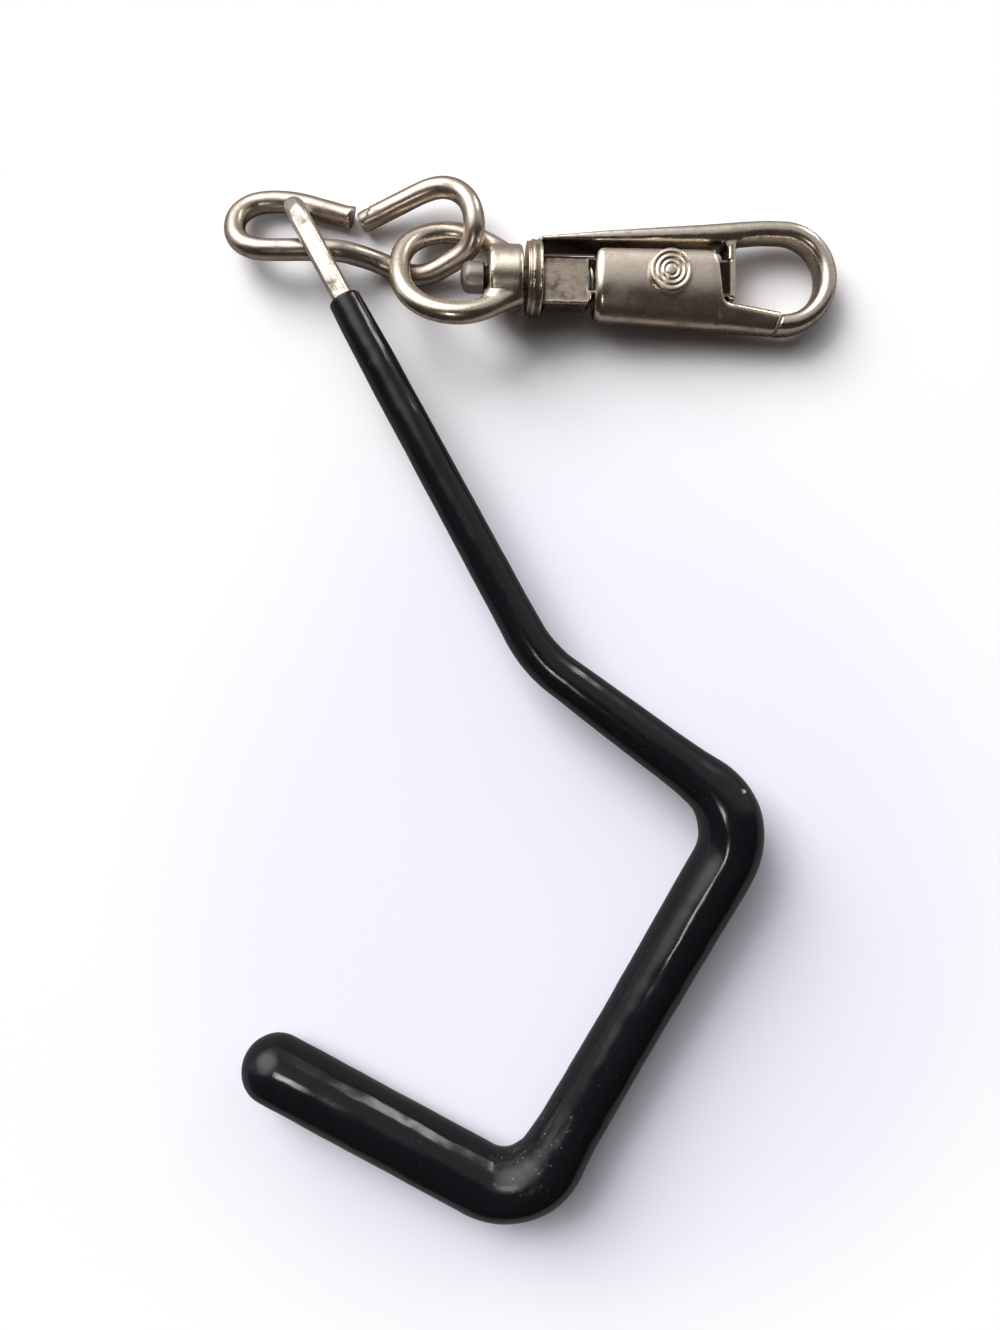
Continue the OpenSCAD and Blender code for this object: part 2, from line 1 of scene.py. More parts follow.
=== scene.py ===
"""Dresses the swivel snap, its opened wire link and the coated hook.

Every piece is built in millimetres in the part's own layout and placed in metres on the
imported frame. Round bars follow their bends through one Geometry Nodes tree, cast pieces
are fused from plain forms and softened like a casting, and turned pieces come from a
profile.
"""
import json
import logging
import math
from dataclasses import dataclass, field
from enum import Enum
from typing import Iterable, Optional, Sequence, Union

import bmesh
import bpy
import numpy as np
from mathutils import Matrix, Vector


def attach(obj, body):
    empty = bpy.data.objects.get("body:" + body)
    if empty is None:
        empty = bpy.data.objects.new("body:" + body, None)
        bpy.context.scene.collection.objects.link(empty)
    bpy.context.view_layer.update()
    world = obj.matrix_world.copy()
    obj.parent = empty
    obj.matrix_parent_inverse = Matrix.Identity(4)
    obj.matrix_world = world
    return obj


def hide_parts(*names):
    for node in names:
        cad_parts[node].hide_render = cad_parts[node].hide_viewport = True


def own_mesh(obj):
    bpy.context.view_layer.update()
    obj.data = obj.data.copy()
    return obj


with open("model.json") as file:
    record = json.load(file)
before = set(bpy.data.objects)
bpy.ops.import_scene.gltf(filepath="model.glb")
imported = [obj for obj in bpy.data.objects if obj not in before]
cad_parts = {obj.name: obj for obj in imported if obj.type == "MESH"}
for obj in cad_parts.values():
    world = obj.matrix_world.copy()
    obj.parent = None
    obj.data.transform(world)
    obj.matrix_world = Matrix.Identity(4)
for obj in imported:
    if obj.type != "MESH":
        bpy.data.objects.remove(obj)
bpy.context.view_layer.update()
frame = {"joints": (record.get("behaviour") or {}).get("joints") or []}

MM = 0.001
ON_AXIS = 0.01
LOG = logging.getLogger("snap")
Point = Sequence[float]
Pairs = Sequence[tuple[float, float]]


# Sockets and node trees


class Socket:
    """An output of a node tree that can be used in arithmetic."""

    def __init__(self, tree: "Nodes", out: bpy.types.NodeSocket) -> None:
        """Wraps one output socket of a tree."""
        self.tree = tree
        self.out = out

    def _math(self, operation: str, a: "Value", b: "Value" = 0.0) -> "Socket":
        """Adds one Math node and returns its result."""
        return self.tree.get("ShaderNodeMath", {"operation": operation}, {0: a, 1: b})

    def __add__(self, other: "Value") -> "Socket":
        """self + other."""
        return self._math("ADD", self, other)

    def __radd__(self, other: "Value") -> "Socket":
        """other + self."""
        return self._math("ADD", other, self)

    def __sub__(self, other: "Value") -> "Socket":
        """self - other."""
        return self._math("SUBTRACT", self, other)

    def __rsub__(self, other: "Value") -> "Socket":
        """other - self."""
        return self._math("SUBTRACT", other, self)

    def __mul__(self, other: "Value") -> "Socket":
        """self * other."""
        return self._math("MULTIPLY", self, other)

    def __rmul__(self, other: "Value") -> "Socket":
        """other * self."""
        return self._math("MULTIPLY", other, self)

    def __truediv__(self, other: "Value") -> "Socket":
        """self / other."""
        return self._math("DIVIDE", self, other)

    def __pow__(self, other: "Value") -> "Socket":
        """self ** other."""
        return self._math("POWER", self, other)

    def high(self, other: "Value") -> "Socket":
        """The larger of two values."""
        return self._math("MAXIMUM", self, other)

    def low(self, other: "Value") -> "Socket":
        """The smaller of two values."""
        return self._math("MINIMUM", self, other)

    def band(self, start: float, end: float) -> "Socket":
        """Rises smoothly from 0 at start to 1 at end, or falls where end is lower."""
        first, last = (0.0, 1.0) if start < end else (1.0, 0.0)
        inputs = {0: self, 1: min(start, end), 2: max(start, end), 3: first, 4: last}
        return self.tree.get("ShaderNodeMapRange", {"interpolation_type": "SMOOTHSTEP"}, inputs)


Value = Union[Socket, float, int, Sequence[float], str, bool, bpy.types.Material]


class Nodes:
    """A node tree with one method that makes any node."""

    def __init__(self, tree: bpy.types.NodeTree) -> None:
        """Starts on a tree, which may already hold nodes."""
        self.tree = tree

    def add(
        self,
        kind: str,
        settings: Optional[dict[str, object]] = None,
        inputs: Optional[dict[Union[int, str], Value]] = None,
    ) -> bpy.types.Node:
        """Makes a node.

        Args:
            kind: the node's type.
            settings: the node's own properties, which are set first.
            inputs: values or sockets by input name or number.

        Returns:
            The new node.
        """
        node = self.tree.nodes.new(kind)
        for name, value in (settings or {}).items():
            setattr(node, name, value)
        for key, value in (inputs or {}).items():
            socket = node.inputs[key]
            if isinstance(value, Socket):
                self.tree.links.new(value.out, socket)
            elif socket.type == "RGBA" and not isinstance(value, (int, float)) and len(value) == 3:
                socket.default_value = (*value, 1.0)
            else:
                socket.default_value = value
        return node

    def get(
        self,
        kind: str,
        settings: Optional[dict[str, object]] = None,
        inputs: Optional[dict[Union[int, str], Value]] = None,
        out: Union[int, str] = 0,
    ) -> Socket:
        """Makes a node and returns one of its outputs as a socket."""
        return Socket(self, self.add(kind, settings, inputs).outputs[out])

    def mix(self, factor: Value, a: Value, b: Value) -> Socket:
        """Mixes two colours, a where the factor is 0."""
        return self.get("ShaderNodeMix", {"data_type": "RGBA"}, {0: factor, 6: a, 7: b}, 2)

    def vector(self, operation: str, a: Value, b: Value = (0, 0, 0)) -> Socket:
        """Adds one Vector Math node and returns its vector or, for a distance or product, its value."""
        out = 1 if operation in ("DISTANCE", "DOT_PRODUCT") else 0
        return self.get("ShaderNodeVectorMath", {"operation": operation}, {0: a, 1: b}, out)

    def scaled(self, vector: Socket, by: Point) -> Socket:
        """Stretches a vector along its axes."""
        return self.vector("MULTIPLY", vector, by)

    def noise(self, at: Socket, scale: float, detail: float = 3.0, rough: float = 0.5) -> Socket:
        """Noise between about 0.2 and 0.8 at a place."""
        inputs = {"Vector": at, "Scale": scale, "Detail": detail, "Roughness": rough}
        return self.get("ShaderNodeTexNoise", None, inputs)

    def attribute(self, name: str, out: str) -> Socket:
        """A value that the mesh's points hold."""
        return self.get("ShaderNodeAttribute", {"attribute_name": name}, None, out)

    def bump(self, height: Value, strength: float, depth: float, normal: Optional[Socket] = None) -> Socket:
        """Turns a height into a bumped normal, on top of another if one is given."""
        inputs: dict[Union[int, str], Value] = {"Height": height, "Strength": strength, "Distance": depth}
        if normal is not None:
            inputs["Normal"] = normal
        return self.get("ShaderNodeBump", None, inputs)


def cleared(owner: Union[bpy.types.Material, bpy.types.World]) -> Nodes:
    """Empties the node tree of a new material or world, to be built anew."""
    owner.use_nodes = True
    owner.node_tree.nodes.clear()
    return Nodes(owner.node_tree)


# Paths, meshes and placements


def unit(v: np.ndarray) -> np.ndarray:
    """A vector at length one."""
    return v / np.linalg.norm(v)


def heading(angle: float) -> np.ndarray:
    """The level direction at an angle in degrees from +X."""
    return np.array([math.cos(math.radians(angle)), math.sin(math.radians(angle)), 0.0])


def bent_points(corners: Sequence[Point], radii: Sequence[float], step: float) -> np.ndarray:
    """Points along a path of straight runs joined by round bends.

    Args:
        corners: the path's corners.
        radii: a bend radius for each corner; the ends' are not used.
        step: greatest distance between points.

    Returns:
        The points, evenly spaced along each run and bend.
    """
    p = [np.array(c, float) for c in corners]
    last = len(p) - 1
    ways = [unit(p[i + 1] - p[i]) for i in range(last)]
    bends = [math.atan2(float(np.linalg.norm(np.cross(a, b))), float(a @ b)) for a, b in zip(ways, ways[1:])]
    turns = [0.0, *bends, 0.0]
    cuts = [radii[i] * math.tan(turns[i] / 2) for i in range(last + 1)]
    points: list[np.ndarray] = []
    for i in range(last):
        start, end = p[i] + ways[i] * cuts[i], p[i + 1] - ways[i] * cuts[i + 1]
        count = max(1, math.ceil(float(np.linalg.norm(end - start)) / step))
        points += [start + (end - start) * k / count for k in range(count + 1)]
        if i + 1 < last:
            inner = unit(ways[i + 1] - (ways[i] @ ways[i + 1]) * ways[i])
            centre, angle, r = end + inner * radii[i + 1], turns[i + 1], radii[i + 1]
            count = max(4, math.ceil(r * angle / step))
            points += [
                centre - inner * r * math.cos(angle * k / count) + ways[i] * r * math.sin(angle * k / count)
                for k in range(1, count)
            ]
    keep = [points[0]] + [b for a, b in zip(points, points[1:]) if np.linalg.norm(b - a) > 1e-4]
    return np.array(keep)


def eased(points: np.ndarray, reach: int, passes: int = 3) -> np.ndarray:
    """Rounds a path of even steps as a bender's rollers would, and keeps its ends.

    Args:
        points: the path.
        reach: how many steps on each side are averaged.
        passes: how many times it is done.

    Returns:
        The eased path.
    """
    out = points.copy()
    last = len(points) - 1
    index = np.arange(last + 1)
    for _ in range(passes):
        width = np.minimum(np.minimum(index, last - index), reach)
        total = np.vstack([np.zeros(3), np.cumsum(out, axis=0)])
        out = (total[index + width + 1] - total[index - width]) / (2 * width + 1)[:, None]
    return out


def distances(points: np.ndarray) -> np.ndarray:
    """Distance travelled at each point of a path."""
    return np.concatenate([[0.0], np.cumsum(np.linalg.norm(np.diff(points, axis=0), axis=1))])


def law(pairs: Pairs, at: np.ndarray, soften: float = 0.0) -> np.ndarray:
    """Values of a law given by pairs, with its corners rounded over a length.

    Args:
        pairs: places and values, in order.
        at: places to read.
        soften: half the length over which a corner is rounded.

    Returns:
        The values.
    """
    xs, ys = zip(*pairs)
    if soften <= 0:
        return np.interp(at, xs, ys)
    shifts = np.linspace(-soften, soften, 13)
    weights = 1.0 - np.abs(shifts) / (soften * 1.01)
    total = sum(w * np.interp(at + s, xs, ys) for s, w in zip(shifts, weights))
    return total / weights.sum()


def mesh_object(name: str, verts: np.ndarray, faces: Sequence[Sequence[int]]) -> bpy.types.Object:
    """Makes a mesh object with smooth faces.

    Args:
        name: the object's name.
        verts: its points, in metres.
        faces: the numbers of each face's points.

    Returns:
        The new object.
    """
    mesh = bpy.data.meshes.new(name)
    mesh.from_pydata([tuple(v) for v in verts], [], [tuple(f) for f in faces])
    mesh.polygons.foreach_set("use_smooth", [True] * len(mesh.polygons))
    mesh.update()
    obj = bpy.data.objects.new(name, mesh)
    bpy.context.scene.collection.objects.link(obj)
    return obj


def skin(rings: np.ndarray, tube: bool) -> tuple[np.ndarray, list[tuple[int, ...]]]:
    """A closed skin through rings of equal size.

    Args:
        rings: an array of rings, points and coordinates.
        tube: whether the last ring meets the first; otherwise both get a cap.

    Returns:
        Its points and faces.
    """
    count, n = rings.shape[:2]
    faces: list[tuple[int, ...]] = []
    for i in range(count if tube else count - 1):
        here, there = i * n, (i + 1) % count * n
        faces += [(here + k, here + (k + 1) % n, there + (k + 1) % n, there + k) for k in range(n)]
    if not tube:
        faces += [tuple(range(n - 1, -1, -1)), tuple(range((count - 1) * n, count * n))]
    return rings.reshape(-1, 3), faces


def outward(obj: bpy.types.Object) -> bpy.types.Object:
    """Turns all faces of a mesh outwards.

    Args:
        obj: the mesh object.

    Returns:
        The same object.
    """
    bm = bmesh.new()
    bm.from_mesh(obj.data)
    bmesh.ops.recalc_face_normals(bm, faces=bm.faces)
    bm.to_mesh(obj.data)
    bm.free()
    return obj


def applied(obj: bpy.types.Object) -> bpy.types.Object:
    """Makes a plain mesh of an object with its modifiers, and keeps the object's name.

    Args:
        obj: the object, whose modifiers are used up.

    Returns:
        The same object.
    """
    graph = bpy.context.evaluated_depsgraph_get()
    graph.update()
    mesh = bpy.data.meshes.new_from_object(obj.evaluated_get(graph))
    obj.modifiers.clear()
    old = obj.data
    obj.data = mesh
    bpy.data.meshes.remove(old)
    return obj


def placed(points: np.ndarray, place: Matrix) -> np.ndarray:
    """Points in millimetres of a placement, in metres of the scene."""
    m = np.array(place)
    return (points @ m[:3, :3].T + m[:3, 3]) * MM


def formed(name: str, rings: np.ndarray, place: Matrix, tube: bool = False) -> bpy.types.Object:
    """A closed piece through rings that are given in millimetres of a placement."""
    verts, faces = skin(rings, tube)
    return outward(mesh_object(name, placed(verts, place), faces))


def lathe(name: str, profile: Pairs, place: Matrix, sides: int = 96, tube: bool = False) -> bpy.types.Object:
    """A turned piece about the X axis of a placement.

    Args:
        name: the object's name.
        profile: pairs of place along the axis and radius, in millimetres.
        place: where the piece's own frame stands.
        sides: points round it.
        tube: whether the profile goes round a bore and closes on itself.

    Returns:
        The new object.
    """
    around = [2 * math.pi * k / sides for k in range(sides)]
    rings = np.array([[(x, r * math.cos(a), r * math.sin(a)) for a in around] for x, r in profile])
    return formed(name, rings, place, tube)


def boxy(wave: np.ndarray, power: float) -> np.ndarray:
    """A sine or cosine raised to a power with its sign kept, which makes a round section boxy."""
    return np.sign(wave) * np.abs(wave) ** power


def rounded(profile: Pairs, r: float, steps: int = 4) -> list[tuple[float, float]]:
    """A profile with its inner corners rounded.

    Args:
        profile: pairs of place and radius.
        r: the corners' radius.
        steps: points along each corner.

    Returns:
        The rounded profile.
    """
    p = [np.array(q, float) for q in profile]
    out = [tuple(p[0])]
    for a, b, c in zip(p, p[1:], p[2:]):
        reach = min(r, 0.45 * float(np.linalg.norm(b - a)), 0.45 * float(np.linalg.norm(c - b)))
        start, end = b + unit(a - b) * reach, b + unit(c - b) * reach
        for k in range(steps + 1):
            t = k / steps
            out.append(tuple((1 - t) ** 2 * start + 2 * t * (1 - t) * b + t * t * end))
    out.append(tuple(p[-1]))
    return out


def block(lo: Point, hi: Point, place: Matrix) -> bpy.types.Object:
    """A plain block between two corners, used to cut another piece."""
    xs, ys, zs = zip(lo, hi)
    corners = np.array([(x, y, z) for x in xs for y in ys for z in zs], float)
    faces = [(0, 1, 3, 2), (4, 6, 7, 5), (0, 4, 5, 1), (2, 3, 7, 6), (0, 2, 6, 4), (1, 5, 7, 3)]
    return outward(mesh_object("block", placed(corners, place), faces))


def plate(outline: Pairs, half: float, place: Matrix) -> bpy.types.Object:
    """A flat plate of a given outline, centred on its own level plane."""
    rings = np.array([[(x, y, z) for x, y in outline] for z in (-half, half)])
    return formed("plate", rings, place)


def fused(name: str, parts: Sequence[bpy.types.Object], voxel: float, passes: int) -> bpy.types.Object:
    """Fuses overlapping solids into one skin and softens it as a casting's is.

    Args:
        name: the new piece's name.
        parts: closed solids, which are used up.
        voxel: size of the skin's faces, in millimetres.
        passes: how many times the skin is softened.

    Returns:
        The fused piece.
    """
    bm = bmesh.new()
    for part in parts:
        bm.from_mesh(part.data)
        bpy.data.objects.remove(part)
    mesh = bpy.data.meshes.new(name)
    bm.to_mesh(mesh)
    bm.free()
    obj = bpy.data.objects.new(name, mesh)
    bpy.context.scene.collection.objects.link(obj)
    remesh = obj.modifiers.new("skin", "REMESH")
    remesh.mode = "VOXEL"
    remesh.voxel_size = voxel * MM
    remesh.use_smooth_shade = True
    soften = obj.modifiers.new("soften", "SMOOTH")
    soften.factor = 0.5
    soften.iterations = passes
    return applied(obj)


def cut(obj: bpy.types.Object, cutters: Sequence[bpy.types.Object]) -> bpy.types.Object:
    """Takes the cutters' volume away from a piece.

    Args:
        obj: the piece.
        cutters: closed solids, which are used up.

    Returns:
        The same piece.
    """
    sharp_from = 50
    for cutter in cutters:
        mod = obj.modifiers.new("cut", "BOOLEAN")
        mod.operation = "DIFFERENCE"
        mod.solver = "EXACT"
        mod.object = cutter
    applied(obj)
    for cutter in cutters:
        bpy.data.objects.remove(cutter)
    obj.data.polygons.foreach_set("use_smooth", [True] * len(obj.data.polygons))
    obj.data.set_sharp_from_angle(angle=math.radians(sharp_from))
    return obj


def vertex_rows(mesh: bpy.types.Mesh, key: str) -> np.ndarray:
    """The places or normals of a mesh's points, one row for each."""
    values = np.empty(len(mesh.vertices) * 3)
    mesh.vertices.foreach_get(key, values)
    return values.reshape(-1, 3)


def mark_hollows(obj: bpy.types.Object, reach: int = 12, gain: float = 9000.0) -> None:
    """Stores how hollow or how raised each point of a piece is, for dirt and worn edges.

    Args:
        obj: the piece.
        reach: how many rings of neighbours are averaged.
        gain: what one unit of hollow per metre counts for.
    """
    mesh = obj.data
    n = len(mesh.vertices)
    places, normals = vertex_rows(mesh, "co"), vertex_rows(mesh, "normal")
    edges = np.empty(len(mesh.edges) * 2, dtype=np.int64)
    mesh.edges.foreach_get("vertices", edges)
    a, b = edges.reshape(-1, 2).T
    degree = np.maximum(np.bincount(a, minlength=n) + np.bincount(b, minlength=n), 1)[:, None]
    mean = places.copy()
    for _ in range(reach):
        total = np.zeros_like(mean)
        np.add.at(total, a, mean[b])
        np.add.at(total, b, mean[a])
        mean = 0.5 * mean + 0.5 * total / degree
    hollow = np.einsum("ij,ij->i", mean - places, normals) * gain
    layer = mesh.attributes.new("hollow", "FLOAT", "POINT")
    layer.data.foreach_set("value", np.clip(hollow, -1, 1).astype(np.float32))


@dataclass(frozen=True)
class StainAndShade:
    """Dirt, wear or painted shade in a box of the snap's frame, in millimetres: some boxes lay real tarnish
    and soil, others painted shade; below nought it is wear.
    """

    low: Point
    high: Point
    amount: float
    fade: float = 0.25

    def lay_on(self, obj: bpy.types.Object) -> None:
        """Adds to the hollow mark of each point of a piece that lies in the box.

        Args:
            obj: the piece, which has its hollow mark.
        """
        back = np.array(snap_place().inverted())
        local = vertex_rows(obj.data, "co") / MM @ back[:3, :3].T + back[:3, 3]
        depth = np.minimum(local - np.array(self.low), np.array(self.high) - local).min(axis=1)
        value = np.empty(len(local))
        layer = obj.data.attributes["hollow"]
        layer.data.foreach_get("value", value)
        value += self.amount * np.clip(depth / self.fade + 0.5, 0, 1)
        layer.data.foreach_set("value", np.clip(value, -1, 1).astype(np.float32))


def flattened(obj: bpy.types.Object, place: Matrix, at: Point, way: Point, reach: float) -> None:
    """Wears a flat on a piece: points beyond a plane are pushed back on to it.

    Args:
        obj: the piece.
        place: the frame of the plane.
        at: a point of the plane, in millimetres.
        way: the plane's outward direction.
        reach: only points this near to the plane's own point are moved.
    """
    pushed = 0.92
    centre = place @ Vector(at)
    normal = (place.to_3x3() @ Vector(way)).normalized()
    for v in obj.data.vertices:
        away = v.co / MM - centre
        over = away.dot(normal)
        if over > 0 and away.length < reach:
            v.co = (v.co / MM - normal * over * pushed) * MM


@dataclass(frozen=True)
class Dents:
    """How a bar's surface wanders: how deep, in metres, how close the dents lie, and their seed."""

    depth: float = 0.0
    scale: float = 300.0
    seed: float = 0.0


class BarTree:
    """The Geometry Nodes tree that carries a round section along a path.

    The path is a chain of edges whose points hold "thick", the radius there, and
    "along", the distance travelled. The mesh gets "lay", the place that each point
    would have if the bar were pulled straight.
    """

    def __init__(self, name: str) -> None:
        """Builds the tree."""
        group = bpy.data.node_groups.new(name, "GeometryNodeTree")
        face = group.interface
        kinds = {
            "Path": "Geometry", "Sides": "Int", "Dent Depth": "Float", "Dent Scale": "Float", "Seed": "Float",
            "Finish": "Material",
        }
        self.inputs = {
            label: face.new_socket(label, in_out="INPUT", socket_type=f"NodeSocket{kind}").identifier
            for label, kind in kinds.items()
        }
        face.new_socket("Bar", in_out="OUTPUT", socket_type="NodeSocketGeometry")
        nodes = Nodes(group)
        given = nodes.add("NodeGroupInput")

        def entry(name: str) -> Socket:
            """One of the tree's own inputs."""
            return Socket(nodes, given.outputs[name])

        def stored(name: str, kind: str = "FLOAT") -> Socket:
            """A value held by the path's points."""
            return nodes.get("GeometryNodeInputNamedAttribute", {"data_type": kind}, {"Name": name})

        def kept(geometry: Socket, name: str, value: Socket) -> Socket:
            """Geometry whose points hold one more vector."""
            settings = {"data_type": "FLOAT_VECTOR", "domain": "POINT"}
            inputs = {"Geometry": geometry, "Name": name, "Value": value}
            return nodes.get("GeometryNodeStoreNamedAttribute", settings, inputs)

        round_ring = {"Resolution": entry("Sides"), "Radius": 1.0}
        ring = nodes.get("GeometryNodeCurvePrimitiveCircle", {"mode": "RADIUS"}, round_ring)
        ring = kept(ring, "rim", nodes.get("GeometryNodeInputPosition"))
        curve = nodes.get("GeometryNodeMeshToCurve", None, {"Mesh": entry("Path")})
        bar = nodes.get(
            "GeometryNodeCurveToMesh",
            None,
            {"Curve": curve, "Profile Curve": ring, "Scale": stored("thick"), "Fill Caps": True},
        )
        rim = nodes.vector("MULTIPLY", stored("rim", "FLOAT_VECTOR"), self._triple(nodes, stored("thick")))
        run = nodes.get("ShaderNodeCombineXYZ", None, {"X": 0.0, "Y": 0.0, "Z": stored("along")})
        bar = kept(bar, "lay", nodes.vector("ADD", rim, run))
        place = nodes.vector("ADD", stored("lay", "FLOAT_VECTOR"), self._triple(nodes, entry("Seed")))
        cloud = {"Vector": place, "Scale": entry("Dent Scale"), "Detail": 2.0}
        push = (nodes.get("ShaderNodeTexNoise", None, cloud) - 0.5) * entry("Dent Depth")
        offset = nodes.vector("MULTIPLY", nodes.get("GeometryNodeInputNormal"), self._triple(nodes, push))
        bar = nodes.get("GeometryNodeSetPosition", None, {"Geometry": bar, "Offset": offset})
        bar = nodes.get("GeometryNodeSetShadeSmooth", None, {"Geometry": bar, "Shade Smooth": True})
        bar = nodes.get("GeometryNodeRealizeInstances", None, {"Geometry": bar})
        bar = nodes.get("GeometryNodeSetMaterial", None, {"Geometry": bar, "Material": entry("Finish")})
        nodes.add("NodeGroupOutput", None, {"Bar": bar})
        self.group = group

    @staticmethod
    def _triple(nodes: Nodes, value: Socket) -> Socket:
        """A vector with the same value three times."""
        return nodes.get("ShaderNodeCombineXYZ", None, {"X": value, "Y": value, "Z": value})

    def sweep(
        self,
        name: str,
        points: np.ndarray,
        radii: np.ndarray,
        finish: Optional[bpy.types.Material],
        sides: int = 48,
        dents: Dents = Dents(),
    ) -> bpy.types.Object:
        """Carries a round section along a path.

        Args:
            name: the piece's name.
            points: the path, in metres.
            radii: the radius at each point, in metres.
            finish: its material.
            sides: points round the bar.
            dents: how its surface wanders.

        Returns:
            The bar as a plain mesh object.
        """
        mesh = bpy.data.meshes.new(name)
        mesh.from_pydata(points.tolist(), [(i, i + 1) for i in range(len(points) - 1)], [])
        for key, values in (("thick", radii), ("along", distances(points))):
            layer = mesh.attributes.new(key, "FLOAT", "POINT")
            layer.data.foreach_set("value", np.asarray(values, dtype=np.float32))
        obj = bpy.data.objects.new(name, mesh)
        bpy.context.scene.collection.objects.link(obj)
        mod = obj.modifiers.new("bar", "NODES")
        mod.node_group = self.group
        given = {
            "Sides": sides, "Dent Depth": dents.depth, "Dent Scale": dents.scale, "Seed": dents.seed,
            "Finish": finish,
        }
        for label, value in given.items():
            mod[self.inputs[label]] = value
        applied(obj)
        return outward(obj)


# The frame's own places


def joint(name: str) -> dict:
    """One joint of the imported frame."""
    return next(j for j in frame["joints"] if j["name"] == name)


LAYOUT = np.array(joint("link_swing")["pos_m"]) / MM
SWIVEL_AT = np.array(joint("swivel")["pos_m"]) / MM
SWIVEL_AXIS = np.array(joint("swivel")["axis"])
PITCH = math.atan2(-SWIVEL_AXIS[2], SWIVEL_AXIS[0])
STRAND_Z = LAYOUT[2]
LAYOUT_XY = np.array([LAYOUT[0], LAYOUT[1], 0.0])


def snap_place(roll: float = 0.0) -> Matrix:
    """The frame of the snap, or of the eye where it is rolled.

    Args:
        roll: the turn about the swivel's axis, in degrees.

    Returns:
        The frame, in millimetres.
    """
    return (
        Matrix.Translation(Vector(SWIVEL_AT))
        @ Matrix.Rotation(PITCH, 4, "Y")
        @ Matrix.Rotation(math.radians(-roll), 4, "X")
    )


# Finishes


class Metal(Enum):
    """Which metal a finish shows."""

    NICKEL = "nickel"
    ROD = "rod"
    LINK = "link"
    PIN = "pin"
    SPRING = "spring"


@dataclass(frozen=True)
class MetalFinish:
    """A worn metal surface: its colour, how dull it is, and its marks."""

    metal: Metal
    bright: Point
    dark: Point
    dull: float
    scratch: float
    tarnish: float
    drawn: bool = False

    def build(self) -> bpy.types.Material:
        """Builds the material.

        Returns:
            The new material.
        """
        material = bpy.data.materials.new(f"finish_{self.metal.value}")
        n = cleared(material)
        space = n.get("ShaderNodeTexCoord", None, None, "Object")
        if self.drawn:
            streak_at = n.scaled(n.attribute("lay", "Vector"), (1.0, 1.0, 0.06))
        else:
            streak_at = n.scaled(space, (0.12, 1.0, 1.0))
        cloud = n.noise(space, 260.0, 4.0, 0.6)
        fine = n.noise(space, 2600.0, 3.0, 0.6)
        streak = n.noise(streak_at, 4200.0, 3.0, 0.6)
        cross = n.noise(n.scaled(space, (1.0, 0.16, 1.0)), 1900.0, 2.0, 0.5)
        hollow = n.attribute("hollow", "Fac")
        # The hollow mark holds the hollows' soil and also the painted shade that the shade boxes lay on the
        # castings; where it runs high the metal is painted near black.
        dirt_and_shade = hollow.band(0.06, 0.5) * (0.6 + cloud * 0.6)
        shine = hollow.band(-0.12, -0.5)
        worn = cloud.band(0.5, 0.72) * self.tarnish + streak.band(0.5, 0.68) * (self.tarnish * 0.45)
        stain_and_shade = (worn + dirt_and_shade * 0.85).low(1.0)
        nick = (streak.band(0.63, 0.74) + cross.band(0.68, 0.76)).low(1.0) * self.scratch
        grime_and_shade = tuple(c * 0.16 for c in self.dark)
        pale = tuple(min(1.0, c * 1.18) for c in self.bright)
        colour = n.mix(stain_and_shade, self.bright, self.dark)
        colour = n.mix(hollow.band(0.5, 0.85), colour, grime_and_shade)
        colour = n.mix((shine * 0.6 + nick * 0.35).low(1.0), colour, pale)
        rough = self.dull + (cloud - 0.5) * 0.22 + (fine - 0.5) * 0.14
        rough = (rough + stain_and_shade * 0.2 - shine * 0.1 + nick * 0.06).high(0.12).low(0.8)
        scored = fine * 0.5 + streak * 0.7 * self.scratch + cross * 0.25 * self.scratch
        normal = n.bump(cloud, 0.14, 0.16 * MM, n.bump(scored, 0.3, 0.05 * MM))
        metal = {"Base Color": colour, "Metallic": 1.0, "Roughness": rough, "Normal": normal}
        shader = n.get("ShaderNodeBsdfPrincipled", None, metal)
        n.add("ShaderNodeOutputMaterial", None, {"Surface": shader})
        return material


@dataclass(frozen=True)
class Scuff:
    """One mark on the coating: where it is and how wide, in millimetres of the layout."""

    at: tuple[float, float, float]
    size: float


